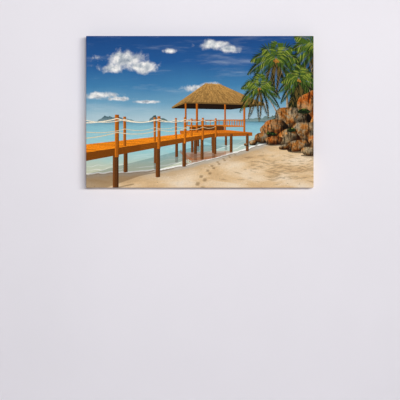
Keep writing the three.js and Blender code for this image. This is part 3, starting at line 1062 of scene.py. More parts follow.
def unprinted_inside(thickness, pleat):
    """The inside of the cloth, and the cut edge that joins it to the outside, as places and faces."""
    points, chains = numbered(fold_lines())
    flat, faces = cut_cloth(points, chains, [])
    used = np.unique(faces)
    renumber = np.full(len(flat), -1)
    renumber[used] = np.arange(len(used))
    flat, faces = flat[used], renumber[faces].tolist()
    inner = folded(flat, pleat, thickness)
    outer = folded(flat, pleat)
    sides = dict.fromkeys(side for face in faces for side in round_pairs(face))
    count = len(flat)
    rim = [(b, a, a + count, b + count) for a, b in sides if (b, a) not in sides]
    # A side with no neighbour lies on the cut edge or on a mitre, where it meets the next side of the cloth
    on_edge = []
    for side in rim:
        over = np.abs(flat[list(side[:2])]) - INNER
        if (over.max(1) > REACH + FLAT_BACK - 1e-3).all():
            on_edge.append(side)
    place = np.concatenate([inner, outer])
    turned = [face[::-1] for face in faces]
    flats = np.concatenate([flat, flat])
    return place, turned + [list(side)[::-1] for side in on_edge], flats


def rgba(colour):
    """A hex code, or a colour from the panel's settings, as linear red, green, blue and alpha."""
    return linear(colour) if isinstance(colour, str) else (*colour, 1.0)


# The kinds of node that are used most
VECTOR = "ShaderNodeVectorMath"
MATH = "ShaderNodeMath"
RANGE = "ShaderNodeMapRange"
NOISE = "ShaderNodeTexNoise"
RAMP = "ShaderNodeValToRGB"
BLEND = "ShaderNodeMix"


def add_node(tree, kind, inputs=None, stops=None, **settings):
    """A node with its settings, and its inputs as values, as sockets, or as nodes whose first output they
    take."""
    node = tree.nodes.new(kind)
    for name, value in settings.items():
        setattr(node, name, value)
    for key, value in (inputs or {}).items():
        if isinstance(value, bpy.types.Node):
            value = value.outputs[0]
        if isinstance(value, bpy.types.NodeSocket):
            tree.links.new(value, node.inputs[key])
        else:
            node.inputs[key].default_value = value
    if stops:
        ramp = node.color_ramp
        while len(ramp.elements) < len(stops):
            ramp.elements.new(1.0)
        for element, (place, colour) in zip(ramp.elements, stops):
            element.position = place
            element.color = rgba(colour)
    return node


def new_material(name):
    """A material with no nodes yet, and what adds a node to it."""
    made = bpy.data.materials.new(name)
    made.use_nodes = True
    made.node_tree.nodes.clear()
    return made, partial(add_node, made.node_tree)


def shaded(made, add, inputs):
    """The material, given its shader with these inputs."""
    add("ShaderNodeOutputMaterial", {"Surface": add("ShaderNodeBsdfPrincipled", inputs)})
    return made


def cloth_place(add):
    """Millimetres on the flat cloth from the print's centre, from the cloth's own UV map."""
    spread = add("ShaderNodeUVMap", uv_map="cloth")
    centred = add(VECTOR, {0: spread, 1: (-UV_SHIFT, -UV_SHIFT, 0)}, operation="ADD")
    return add(VECTOR, {0: centred, "Scale": 1 / MM}, operation="SCALE")


def woven(made, add, place, colour, settings, shine=0.0):
    """Plain-woven poly-cotton canvas. Its threads are about 0.9 mm apart, less than a pixel of the render,
    so they are drawn at the panel's wider pitch, with the slubs that give canvas its uneven, napped face.
    The colour is painted darker where the threads lie low and lighter on their crowns: painted shade of the
    weave."""
    turns = add(VECTOR, {0: place, "Scale": math.pi / (settings.weave / MM)}, operation="SCALE")
    waves = add(VECTOR, {0: turns}, operation="SINE")
    split = add("ShaderNodeSeparateXYZ", {0: waves})
    checks = add(MATH, {0: split, 1: split.outputs[1]}, operation="MULTIPLY")
    slubs = []
    for stretch in ((0.016, 0.36, 1), (0.36, 0.016, 1)):
        long = add(VECTOR, {0: place, 1: stretch}, operation="MULTIPLY")
        slubs.append(add(NOISE, {0: long, "Scale": 1.0, "Detail": 2.0}))
    both = add(MATH, {0: slubs[0], 1: slubs[1]}, operation="ADD")
    threads = add(MATH, {0: checks, 1: 0.32, 2: both}, operation="MULTIPLY_ADD")
    # The threads' height scales the ink. This is painted shade in the hollows between threads and painted
    # light on their crowns, together with the slubs' uneven tone.
    weave_shade_and_nap = add(RANGE, {0: threads, 1: 0.6, 2: 1.4, 3: 0.955, 4: 1.03})
    inputs = {
        "Base Color": add(VECTOR, {0: colour, "Scale": weave_shade_and_nap}, operation="SCALE"),
        "Roughness": add(RANGE, {0: threads, 1: 0.6, 2: 1.4, 3: 0.72 - shine, 4: 0.84 - shine}),
        "Normal": add("ShaderNodeBump", {"Strength": 0.5, "Distance": 0.0004, "Height": threads}),
        "Specular IOR Level": 0.08,
    }
    return shaded(made, add, inputs)


def over_ink(add, below):
    """Lays the ink of the cloth's corners over a colour, as much as its alpha says."""
    ink = add("ShaderNodeAttribute", attribute_name="ink")
    layers = {0: ink.outputs["Alpha"], 6: below, 7: ink.outputs["Color"]}
    return add(BLEND, layers, data_type="RGBA").outputs[2]


# Heaps of cloud: centre and half sizes on the print
HEAPS = (
    (-300, 208, 96, 40), (-236, 182, 84, 30), (-352, 176, 66, 22), (-120, 244, 30, 12), (52, 268, 74, 22),
    (118, 254, 52, 16), (-20, 92, 62, 17), (36, 104, 44, 18), (92, 84, 54, 11), (-408, 66, 88, 15),
    (-330, 52, 70, 10), (-214, 40, 60, 7), (168, 34, 96, 10), (10, 22, 90, 6),
)


def printed_sky(settings):
    """Canvas print, sky: pigment ink on primed canvas, deep blue above, paler to the horizon, with heaped
    white clouds lit from the left and grey below."""
    made, add = new_material("Canvas Print Sky")
    place = cloth_place(add)
    up = add("ShaderNodeSeparateXYZ", {0: place}).outputs[1]
    drift = add(NOISE, {0: place, "Scale": 0.004, "Detail": 3.0})
    height = add(MATH, {0: drift, 1: 60.0, 2: up}, operation="MULTIPLY_ADD")
    share = add(RANGE, {0: height, 1: HORIZON + 30, 2: 370.0})
    blues = (
        (0.0, "#AEC7D0"), (0.08, "#98BAC8"), (0.2, "#6C9EBB"),
        (0.38, "#3F7CA9"), (0.62, "#225792"), (1.0, settings.sky),
    )
    blue = add(RAMP, {0: share}, stops=blues)

    # High thin cloud in slanting streaks
    slanting = {0: place, "Rotation": (0, 0, -0.32), "Scale": (0.0028, 0.017, 1)}
    slant = add("ShaderNodeMapping", slanting)
    veil = add(NOISE, {0: slant, "Scale": 1.0, "Detail": 6.0, "Roughness": 0.62})
    thin = add(RANGE, {0: veil, 1: 0.5, 2: 0.78, 3: 0.0, 4: 0.3}, interpolation_type="SMOOTHSTEP")
    sky = add(BLEND, {0: thin, 6: blue, 7: linear("#D9E2E6")}, data_type="RGBA").outputs[2]

    # How deep in a heap a place lies, with ragged edges
    nearest = None
    for x, z, wide, high in HEAPS:
        there = add(VECTOR, {0: place, 1: (x, z, 0)}, operation="SUBTRACT")
        sized = add(VECTOR, {0: there, 1: (1 / wide, 1 / high, 0)}, operation="MULTIPLY")
        gone = add(VECTOR, {0: sized}, operation="LENGTH").outputs["Value"]
        if nearest:
            gone = add(MATH, {0: nearest, 1: gone, 2: 0.3}, operation="SMOOTH_MIN")
        nearest = gone
    edges = add(NOISE, {0: place, "Scale": 0.02, "Detail": 9.0, "Roughness": 0.6, "Distortion": 0.35})
    swollen = add(MATH, {0: nearest, 1: -1.0, 2: 1.0}, operation="MULTIPLY_ADD")
    body = add(MATH, {0: edges, 1: 2.6, 2: swollen}, operation="MULTIPLY_ADD")
    held = add(RANGE, {0: body, 1: 1.2, 2: 2.05}, interpolation_type="SMOOTHSTEP")

    # Light from the upper left: the difference of a smooth lumpiness and the same a little way off
    lumps = []
    for shift in ((0, 0, 0), (-7, 12, 0)):
        moved = add(VECTOR, {0: place, 1: shift}, operation="ADD")
        lumpy = {0: moved, "Scale": 0.026, "Detail": 5.0, "Roughness": 0.55, "Distortion": 0.3}
        lumps.append(add(NOISE, lumpy))
    relief = add(MATH, {0: lumps[0], 1: lumps[1]}, operation="SUBTRACT")
    thick = add(MATH, {0: body, 1: -0.16, 2: relief}, operation="MULTIPLY_ADD")
    lit = add(RANGE, {0: thick, 1: -0.56, 2: -0.14})
    greys = ((0.0, "#8B97A4"), (0.3, "#A9B2BA"), (0.6, "#CDD1D3"), (0.85, "#ECEBE7"), (1.0, "#F7F5F0"))
    cloud = add(RAMP, {0: lit}, stops=greys)
    clouded = add(BLEND, {0: held, 6: sky, 7: cloud}, data_type="RGBA").outputs[2]
    return woven(made, add, place, over_ink(add, clouded), settings)


def printed_sea(settings):
    """Canvas print, sea: pigment ink on primed canvas, teal at the horizon and pale turquoise inshore, with
    ripples that draw together in the distance."""
    made, add = new_material("Canvas Print Sea")
    place = cloth_place(add)
    split = add("ShaderNodeSeparateXYZ", {0: place})
    down = add(MATH, {0: HORIZON + 3.0, 1: split.outputs[1]}, operation="SUBTRACT")
    far = add(MATH, {0: 1.0, 1: down}, operation="DIVIDE")
    across = add(MATH, {0: split, 1: far}, operation="MULTIPLY")
    ahead = add(MATH, {0: far, 1: 520.0}, operation="MULTIPLY")
    water = add("ShaderNodeCombineXYZ", {0: across, 1: ahead})
    ripples = add(NOISE, {0: water, "Scale": 1.7, "Detail": 7.0, "Roughness": 0.62, "Distortion": 0.6})
    swell = add(NOISE, {0: water, "Scale": 0.45, "Detail": 3.0})
    drift = add(MATH, {0: swell, 1: -44.0, 2: down}, operation="MULTIPLY_ADD")
    share = add(RANGE, {0: drift, 1: -22.0, 2: 200.0})
    teals = (
        (0.0, settings.sea), (0.1, "#9ACAD4"), (0.3, "#B0D5DB"),
        (0.55, "#BBD8DA"), (0.8, "#C6D7D0"), (1.0, "#CDD3C5"),
    )
    tone = add(RAMP, {0: share}, stops=teals)
    glints = ((0.3, "#5C7F8C"), (0.47, "#808080"), (0.56, "#868686"), (0.72, "#C8CCCA"))
    layers = {0: 0.55, 6: tone, 7: add(RAMP, {0: ripples}, stops=glints)}
    waved = add(BLEND, layers, data_type="RGBA", blend_type="OVERLAY").outputs[2]
    return woven(made, add, place, over_ink(add, waved), settings, 0.04)


def printed_sand(settings):
    """Canvas print, sand: pigment ink on primed canvas, golden, with hollows, trodden places and grit."""
    made, add = new_material("Canvas Print Sand")
    place = cloth_place(add)
    flat = add("ShaderNodeMapping", {0: place, "Scale": (0.006, 0.02, 1)})
    hollows = add(NOISE, {0: flat, "Scale": 1.0, "Detail": 5.0, "Roughness": 0.55, "Distortion": 0.4})
    golds = ((0.28, "#C4A074"), (0.45, settings.sand), (0.6, "#E6CFAE"), (0.78, "#E8DAC6"))
    tone = add(RAMP, {0: hollows}, stops=golds)
    grit = add(NOISE, {0: place, "Scale": 0.16, "Detail": 6.0, "Roughness": 0.75})
    rough = add(RANGE, {0: grit, 1: 0.3, 2: 0.7, 3: 0.86, 4: 1.12})
    gritty = add(VECTOR, {0: tone, "Scale": rough}, operation="SCALE")
    return woven(made, add, place, over_ink(add, gritty), settings)


def printed_rock(settings):
    """Canvas print, rock: pigment ink on primed canvas, worn granite with rusty streaks and dark cracks."""
    made, add = new_material("Canvas Print Rock")
    place = cloth_place(add)
    ink = add("ShaderNodeAttribute", attribute_name="ink")
    broad = add(NOISE, {0: place, "Scale": 0.024, "Detail": 6.0, "Roughness": 0.62, "Distortion": 0.9})
    rusts = ((0.34, "#C6BEB0"), (0.46, "#DCCBAC"), (0.55, "#E4A55F"), (0.66, "#D57E32"))
    stone = add(RAMP, {0: broad}, stops=rusts)
    layers = {0: 1.0, 6: ink, 7: stone}
    rock = add(BLEND, layers, data_type="RGBA", blend_type="MULTIPLY").outputs[2]

    # Dark runs of water down the faces, mottling, and cracks
    runs = add("ShaderNodeMapping", {0: place, "Scale": (0.1, 0.022, 1)})
    streaks = add(NOISE, {0: runs, "Scale": 1.0, "Detail": 7.0, "Roughness": 0.66, "Distortion": 0.9})
    stain = add(RANGE, {0: streaks, 1: 0.47, 2: 0.6, 3: 1.0, 4: 0.16}, interpolation_type="SMOOTHSTEP")
    mottle = add(NOISE, {0: place, "Scale": 0.12, "Detail": 9.0, "Roughness": 0.74})
    light = add(RANGE, {0: mottle, 1: 0.3, 2: 0.7, 3: 0.4, 4: 1.85})
    warp = add(NOISE, {0: place, "Scale": 0.03, "Detail": 4.0})
    bent = add(VECTOR, {0: warp.outputs[1], 1: (60, 60, 0), 2: place}, operation="MULTIPLY_ADD")
    cracks = add("ShaderNodeTexVoronoi", {0: bent, "Scale": 0.019}, feature="DISTANCE_TO_EDGE")
    gap = add(RANGE, {0: cracks, 1: 0.0, 2: 0.03, 3: 0.4, 4: 1.0})
    for part in (stain, light, gap):
        rock = add(VECTOR, {0: rock, "Scale": part}, operation="SCALE")
    return woven(made, add, place, rock, settings)


def printed_motif(settings):
    """Canvas print, leaves and timber: pigment ink on primed canvas, each shape's ink a little uneven."""
    made, add = new_material("Canvas Print Leaves And Timber")
    place = cloth_place(add)
    ink = add("ShaderNodeAttribute", attribute_name="ink")
    patchy = add(NOISE, {0: place, "Scale": 0.22, "Detail": 5.0, "Roughness": 0.65})
    light = add(RANGE, {0: patchy, 1: 0.3, 2: 0.7, 3: 0.72, 4: 1.3})
    toned = add(VECTOR, {0: ink, "Scale": light}, operation="SCALE")
    return woven(made, add, place, toned, settings)


def primed_canvas(settings):
    """Primed poly-cotton canvas, unprinted: chalky off-white, faintly flecked with husk and greyer where
    handled."""
    made, add = new_material("Primed Canvas")
    place = cloth_place(add)
    soil = add(NOISE, {0: place, "Scale": 0.02, "Detail": 4.0})
    chalk = add(RAMP, {0: soil}, stops=((0.3, "#E3DED2"), (0.7, settings.primer)))
    flecks = add("ShaderNodeTexVoronoi", {0: place, "Scale": 0.12}, feature="F1")
    husk = add(RANGE, {0: flecks, 1: 0.025, 2: 0.05, 3: 0.78, 4: 1.0})
    canvas = add(VECTOR, {0: chalk, "Scale": husk}, operation="SCALE")
    return woven(made, add, place, canvas, settings)


def along_grain(add, along):
    """Object coordinates in millimetres, turned so that the grain runs along X."""
    place = add("ShaderNodeTexCoord").outputs["Object"]
    big = add(VECTOR, {0: place, "Scale": 1 / MM}, operation="SCALE")
    split = add("ShaderNodeSeparateXYZ", {0: big})
    order = {"X": (0, 1, 2), "Z": (2, 1, 0)}[along]
    turned = {k: split.outputs[axis] for k, axis in enumerate(order)}
    return add("ShaderNodeCombineXYZ", turned)


def softwood(name, along, pith, ring, early, late, knots=1.0, shift=0.0):
    """Planed or sawn softwood: growth rings cut into long lines and flames, hair-fine fibres, and here and
    there a knot round which the rings bend. Pith is how far off the middle of the tree lay, ring how wide a
    year's growth is and shift where along the tree the piece was cut, all in millimetres."""
    made, add = new_material(name)
    place = along_grain(add, along)
    moved = add(VECTOR, {0: place, 1: (shift, 0, 0)}, operation="ADD")

    # One knot in each long cell of the tree, and how far the rings swerve round it
    cell = add(VECTOR, {0: moved, 1: (1 / 210, 1 / 42, 1 / 64)}, operation="MULTIPLY")
    spots = add("ShaderNodeTexVoronoi", {0: cell, "Scale": 1.0, "Randomness": 1.0})
    near = {0: spots, 1: 0.34, 2: 0.03, 3: 0.0, 4: 16.0 * knots}
    swerve = add(RANGE, near, interpolation_type="SMOOTHSTEP")

    # Rings round the pith, which wander slowly along the tree
    wander = add(VECTOR, {0: moved, 1: (0.0035, 0.02, 0.02)}, operation="MULTIPLY")
    waves = add(NOISE, {0: wander, "Scale": 1.0, "Detail": 3.0})
    across = add(VECTOR, {0: moved, 1: (0, 1, 1)}, operation="MULTIPLY")
    off = add(VECTOR, {0: across, 1: (0, *pith)}, operation="SUBTRACT")
    radius = add(VECTOR, {0: off}, operation="LENGTH").outputs["Value"]
    bent = add(MATH, {0: waves, 1: 26.0, 2: radius}, operation="MULTIPLY_ADD")
    swerving = add(MATH, {0: bent, 1: swerve}, operation="ADD")
    rings = add(MATH, {0: swerving, 1: 1 / ring}, operation="MULTIPLY")
    year = add(MATH, {0: rings}, operation="FRACT")
    seasons = ((0.0, early), (0.45, early), (0.86, late), (0.94, late), (1.0, early))
    tone = add(RAMP, {0: year}, stops=seasons)

    # Fibres, warmer patches and the dark hearts of the knots
    thin = add(VECTOR, {0: moved, 1: (0.03, 2.2, 2.2)}, operation="MULTIPLY")
    fibres = add(NOISE, {0: thin, "Scale": 1.0, "Detail": 4.0, "Roughness": 0.6})
    streak = add(RANGE, {0: fibres, 1: 0.3, 2: 0.7, 3: 0.86, 4: 1.1})
    wood = add(VECTOR, {0: tone, "Scale": streak}, operation="SCALE")
    patches = add(VECTOR, {0: moved, 1: (0.006, 0.02, 0.02)}, operation="MULTIPLY")
    patchy = add(NOISE, {0: patches, "Scale": 1.0, "Detail": 2.0})
    warm = add(RANGE, {0: patchy, 1: 0.35, 2: 0.65, 3: 0.0, 4: 0.35})
    core = {0: spots, 1: 0.1, 2: 0.045, 3: 0.0, 4: 0.9 * knots}
    heart = add(RANGE, core, interpolation_type="SMOOTHSTEP")
    for share, code, blend in ((warm, "#EBCB9C", "MULTIPLY"), (heart, "#6B3F1F", "MIX")):
        layers = {0: share, 6: wood, 7: linear(code)}
        wood = add(BLEND, layers, data_type="RGBA", blend_type=blend).outputs[2]
    raised = add(MATH, {0: year, 1: 0.08, 2: fibres}, operation="MULTIPLY_ADD")
    inputs = {
        "Base Color": wood,
        "Roughness": add(RANGE, {0: fibres, 1: 0.3, 2: 0.7, 3: 0.52, 4: 0.72}),
        "Normal": add("ShaderNodeBump", {"Strength": 0.3, "Distance": 0.0003, "Height": raised}),
        "Specular IOR Level": 0.35,
    }
    return shaded(made, add, inputs)


def zinc_steel(name, tint, rough):
    """Mild steel, barrel-plated with zinc: bright grey with a faint blue and straw cast, cloudy gloss and
    fine rubbing marks."""
    made, add = new_material(name)
    place = add("ShaderNodeTexCoord").outputs["Object"]
    clouding = add(NOISE, {0: place, "Scale": 160.0, "Detail": 3.0})
    casts = ((0.32, "#B4B9C3"), (0.5, tint), (0.7, "#D2CDBF"))
    drawn = add("ShaderNodeMapping", {0: place, "Scale": (500.0, 500.0, 1400.0)})
    rubbed = add(NOISE, {0: drawn, "Scale": 1.0, "Detail": 4.0})
    inputs = {
        "Base Color": add(RAMP, {0: clouding}, stops=casts),
        "Metallic": 1.0,
        "Roughness": add(RANGE, {0: rubbed, 1: 0.3, 2: 0.7, 3: rough - 0.04, 4: rough + 0.08}),
        "Normal": add("ShaderNodeBump", {"Strength": 0.12, "Distance": 0.00006, "Height": rubbed}),
    }
    return shaded(made, add, inputs)


def clear_rubber(tint):
    """Clear soft polyurethane, cast as a dome: pale and glassy, cloudy inside, a little dusty."""
    made, add = new_material("Cast Clear Polyurethane")
    place = add("ShaderNodeTexCoord").outputs["Object"]
    dust = add(NOISE, {0: place, "Scale": 900.0, "Detail": 4.0})
    milky = [part * 0.9 for part in tint]
    inputs = {
        "Base Color": add(RAMP, {0: dust}, stops=((0.35, milky), (0.65, tint))),
        "Roughness": add(RANGE, {0: dust, 1: 0.3, 2: 0.7, 3: 0.06, 4: 0.2}),
        "IOR": 1.5,
        "Transmission Weight": 0.2,
        "Subsurface Weight": 0.5,
        "Subsurface Scale": 2 * MM,
    }
    return shaded(made, add, inputs)


def matt_paint(name, tint):
    """Emulsion paint, rolled on: matt and barely uneven."""
    made, add = new_material(name)
    place = add("ShaderNodeTexCoord").outputs["Object"]
    rolled = add(NOISE, {0: place, "Scale": 2.0, "Detail": 4.0})
    thin, thick = ([part * share for part in tint] for share in (0.987, 1.013))
    uneven = add(RAMP, {0: rolled}, stops=((0.3, thin), (0.7, thick)))
    paint = add("ShaderNodeBsdfPrincipled", {"Base Color": uneven, "Roughness": 0.9})
    # From behind, wall and floor let the back of the print be seen
    side = add("ShaderNodeNewGeometry").outputs["Backfacing"]
    clear = add("ShaderNodeBsdfTransparent")
    both = add("ShaderNodeMixShader", {0: side, 1: paint, 2: clear})
    add("ShaderNodeOutputMaterial", {"Surface": both})
    return made


def dress(names, material):
    """Gives CAD nodes their material, and leaves their shape."""
    for name in names:
        node = frame["nodes"][name]
        node.data.materials.clear()
        node.data.materials.append(material)


def make_active(piece):
    deselect_all()
    piece.select_set(True)
    bpy.context.view_layer.objects.active = piece


def start_piece(name):
    """Names the new primitive, which is the active object, and gives it back."""
    made = bpy.context.active_object
    made.name = name
    made.data.name = name
    return made


def apply_place():
    bpy.ops.object.transform_apply(location=True, rotation=True, scale=True)


def settle(piece, material, angle):
    """Applies a finished piece's place, merges its doubles, turns its faces outwards and smooths it."""
    make_active(piece)
    apply_place()
    bpy.ops.object.mode_set(mode="EDIT")
    bpy.ops.mesh.select_all(action="SELECT")
    bpy.ops.mesh.remove_doubles(threshold=1e-6)
    bpy.ops.mesh.normals_make_consistent(inside=False)
    bpy.ops.object.mode_set(mode="OBJECT")
    bpy.ops.object.shade_smooth_by_angle(angle=math.radians(angle))
    piece.data.materials.clear()
    piece.data.materials.append(material)
    return piece


def pick(piece, kind, wanted):
    """Selects, in edit mode, the faces, edges or verts of a piece that pass a test."""
    bpy.ops.mesh.select_mode(type={"faces": "FACE", "edges": "EDGE", "verts": "VERT"}[kind])
    bpy.ops.mesh.select_all(action="DESELECT")
    work = bmesh.from_edit_mesh(piece.data)
    found = [part for part in getattr(work, kind) if wanted(part)]
    if not found:
        raise RuntimeError(f"{piece.name} has no such {kind}")
    for part in found:
        part.select_set(True)
    work.select_flush_mode()
    bmesh.update_edit_mesh(piece.data)


def copy_to(piece, name, place, turn=0.0):
    """A copy with its own mesh, turned about the Y axis through its origin and put in its place."""
    made = piece.copy()
    made.data = piece.data.copy()
    made.name = name
    made.data.name = name
    bpy.context.scene.collection.objects.link(made)
    made.rotation_euler = (0, turn, 0)
    made.location = place
    make_active(made)
    apply_place()
    return made


def join_all(pieces, name):
    deselect_all()
    for piece in pieces:
        piece.select_set(True)
    bpy.context.view_layer.objects.active = pieces[0]
    bpy.ops.object.join()
    pieces[0].name = name
    return pieces[0]


def hand_over(piece, body, instead_of=None):
    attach(piece, body)
    if instead_of:
        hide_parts(instead_of)


# Points of the cloth that lie this near are sewn together, and edges this short are closed up, in metres
SEWN = 1.4e-5
CLOSED_UP = 8e-6
MOST_FACES = 200000


class WALL_PRINT_OT_add_printed_cloth(bpy.types.Operator):
    """Cuts, prints and folds the canvas round the stretcher"""

    bl_idname = "wall_print.add_printed_cloth"
    bl_label = "Printed Canvas"

    def execute(self, context):
        settings = context.scene.wall_print_cloth
        pleat = settings.pleat / MM
        flat, faces, kind, ink = printed_faces(paint_picture())
        place, inside, inside_flat = unprinted_inside(settings.thickness / MM, pleat)
        first = len(flat)
        places = np.concatenate([folded(flat, pleat), place]) * MM
        inside = [[first + n for n in face] for face in inside]
        every_face = faces.tolist() + inside
        mesh = bpy.data.meshes.new("printed_canvas")
        mesh.from_pydata(places.tolist(), [], every_face)
        for build in (printed_sky, printed_sea, printed_sand, printed_rock, printed_motif, primed_canvas):
            mesh.materials.append(build(settings))
        primed = KINDS.index("primed")
        mesh.polygons.foreach_set("material_index", np.append(kind, np.full(len(inside), primed)))

        # The flat cloth as UV map in metres, and the ink at every corner of every face
        flats = np.concatenate([flat, inside_flat])
        loops = [n for face in every_face for n in face]
        spread = mesh.uv_layers.new(name="cloth")
        spread.data.foreach_set("uv", (flats[loops] * MM + UV_SHIFT).ravel())
        inks = mesh.color_attributes.new("ink", "FLOAT_COLOR", "CORNER")
        bare = np.zeros((len(loops) - ink.size // 4, 4))
        laid = np.concatenate([np.clip(ink, 0, 1).reshape(-1, 4), bare])
        inks.data.foreach_set("color", laid.ravel())

        # Sew up the seams of the folded corners and the cut edge
        work = bmesh.new()
        work.from_mesh(mesh)
        bmesh.ops.remove_doubles(work, verts=work.verts, dist=SEWN)
        bmesh.ops.dissolve_degenerate(work, edges=work.edges, dist=CLOSED_UP)
        loose = [v for v in work.verts if not v.link_faces]
        bmesh.ops.delete(work, geom=loose, context="VERTS")
        still_open = sum(len(edge.link_faces) != 2 for edge in work.edges)
        work.to_mesh(mesh)
        work.free()
        if still_open or len(mesh.polygons) > MOST_FACES:
            raise RuntimeError(f"the canvas has {still_open} open edges and {len(mesh.polygons)} faces")
        cloth = bpy.data.objects.new("printed_canvas", mesh)
        context.scene.collection.objects.link(cloth)
        make_active(cloth)
        bpy.ops.object.shade_smooth_by_angle(angle=math.radians(40))
        hand_over(cloth, "stretcher", "canvas")
        return {"FINISHED"}


class WALL_PRINT_OT_finish_stretcher(bpy.types.Operator):
    """Gives the bars, the brace and the wedge keys their wood"""

    bl_idname = "wall_print.finish_stretcher"
    bl_label = "Stretcher Wood"

    def execute(self, context):
        settings = context.scene.wall_print_wood
        ring = settings.ring / MM
        # Node, direction of its grain, pith, share of the ring width, knots and place along the tree
        bars = (
            ("rail_top", "X", (34, 150), 1.03, 1.0, 130),
            ("rail_bottom", "X", (-46, -520), 0.9, 0.9, -310),
            ("stile_left", "Z", (-30, -480), 0.97, 1.0, 40),
            ("stile_right", "Z", (38, 402), 1.1, 1.0, 510),
            ("brace", "Z", (-60, 26), 0.87, 0.8, 90),
        )
        for name, along, pith, share, knots, shift in bars:
            title = "Planed Pine " + name.replace("_", " ").title()
            wood = softwood(title, along, pith, ring * share, settings.early, settings.late, knots, shift)
            dress([name], wood)
        early, late = settings.key, settings.late
        keys = softwood("Sawn Whitewood Keys", "X", (-12, 700), ring * 0.63, early, late, 0.0)
        dress([name for name in frame["nodes"] if name.startswith("key_")], keys)
        return {"FINISHED"}


# Staples: section of their flattened wire, its bend at the shoulders and its worn edges, how far their line
# is from the edge and the first from a corner, and how far they sink in
STAPLE_WIDE = 1.3
STAPLE_THICK = 0.62
STAPLE_BEND = 0.5
STAPLE_WORN = 0.09
STAPLE_INSET = 10.4
STAPLE_FROM_CORNER = 62
STAPLE_SUNK = 0.05
# How far they stray along their line and off it, in millimetres, and turn, in radians
STAPLE_DRIFT = 4
STAPLE_STRAY = 1.6
STAPLE_TURN = 0.07
# The one over each mitre: its place from the corner, its slant, and how far that strays, in radians
SLANT_PLACE = (24, 8.2)
SLANT = 0.42
SLANT_STRAY = 0.06


class WALL_PRINT_OT_add_staples(bpy.types.Operator):
    """Models one flat-crown staple and drives copies of it round the cloth's margin"""

    bl_idname = "wall_print.add_staples"
    bl_label = "Staples"

    def staple(self, settings, steel):
        """One staple with its crown at the origin along X and its legs towards -Y."""
        crown, leg = settings.crown, settings.leg
        thick = STAPLE_THICK * MM
        shoulder = crown / 2 - thick
        deselect_all()
        bpy.ops.mesh.primitive_cube_add(size=1.0)
        made = start_piece("staple")
        made.scale = (crown, thick, STAPLE_WIDE * MM)
        apply_place()
        bpy.ops.object.mode_set(mode="EDIT")
        # Cut the crown where each leg begins, and draw the legs out of its underside
        for side in (-1, 1):
            bpy.ops.mesh.select_all(action="SELECT")
            bpy.ops.mesh.bisect(plane_co=(side * shoulder, 0, 0), plane_no=(1, 0, 0))
        pick(made, "faces", lambda f: f.normal.y < -0.9 and abs(f.calc_center_median().x) > shoulder)
        bpy.ops.mesh.extrude_region_move(TRANSFORM_OT_translate={"value": (0, -leg, 0)})
        # The wire bends round at the shoulders
        outer = crown / 2 - 1e-5
        pick(made, "edges", lambda e: all(v.co.y > 0 and abs(v.co.x) > outer for v in e.verts))
        bpy.ops.mesh.bevel(offset=STAPLE_BEND * MM, segments=3, affect="EDGES")
        bpy.ops.object.mode_set(mode="OBJECT")
        soft = made.modifiers.new("soft_edges", "BEVEL")
        soft.width = STAPLE_WORN * MM
        soft.segments = 2
        soft.limit_method = "ANGLE"
        bpy.ops.object.modifier_apply(modifier=soft.name)
        return settle(made, steel, 35)

    def places(self, spacing, pleat, rng):
        """Where staples go: place across and up from the print's centre, turn, and lift off the bars."""
        found = []
        for half_run, level, upright in (
            (HALF_WIDTH, HALF_HEIGHT - STAPLE_INSET, False),
            (HALF_HEIGHT, HALF_WIDTH - STAPLE_INSET, True),
        ):
            run = half_run - STAPLE_FROM_CORNER
            count = round(2 * run / spacing)
            for k in range(count + 1):
                along = -run + 2 * run * k / count
                for side in (-1, 1):
                    drift = along + rng.uniform(-STAPLE_DRIFT, STAPLE_DRIFT)
                    inward = side * (level + rng.uniform(-STAPLE_STRAY, STAPLE_STRAY))
                    turn = rng.gauss(0, STAPLE_TURN) + (math.pi / 2 if upright else 0)
                    found.append(((inward, drift) if upright else (drift, inward), turn, 0.0))
        # One slants across each mitre, over the pleat
        for side_x in (-1, 1):
            for side_z in (-1, 1):
                place = (side_x * (HALF_WIDTH - SLANT_PLACE[0]), side_z * (HALF_HEIGHT - SLANT_PLACE[1]))
                turn = side_x * side_z * SLANT + rng.gauss(0, SLANT_STRAY)
                found.append((place, turn, pleat))
        return found

    def execute(self, context):
        settings = context.scene.wall_print_fasteners
        pleat = context.scene.wall_print_cloth.pleat
        first = self.staple(settings, zinc_steel("Galvanised Staple Wire", "#C6C8CB", 0.34))
        places = self.places(settings.spacing / MM, pleat / MM, random.Random(7))
        staples = []
        for number, ((x, z), turn, lift) in enumerate(places):
            seat = BACK_Y + STAPLE_THICK / 2 + lift - STAPLE_SUNK
            where = (x * MM, seat * MM, (z + CENTRE_Z) * MM)
            staples.append(copy_to(first, f"staple_{number}", where, turn))
        bpy.data.objects.remove(first)
        hand_over(join_all(staples, "margin_staples"), "stretcher")
        return {"FINISHED"}


# Hanger ring: half its width, its straight arms, its wire's radius and the bend of its lower corners
RING_HALF_WIDTH = 9.5
RING_ARM = 3.0
RING_WIRE = 1.15
RING_BEND = 1.6
# Screw: height and rounding of its head, radius and length of its shank, length of its point, and the
# point's tip as a share of the shank
HEAD_HEIGHT = 1.7
HEAD_ROUND = 1.15
SHANK_RADIUS = 1.5
SHANK_LENGTH = 13.0
POINT_LENGTH = 3.0
POINT_TIP = 0.12
# Cross recess: length, width and depth of the blade that cuts a slot, how far its middle is above the head,
# and its foot as a share of its top
BLADE_SIZE = (4.1, 0.82, 2.4)
BLADE_LIFT = 0.25
BLADE_FOOT = 0.45


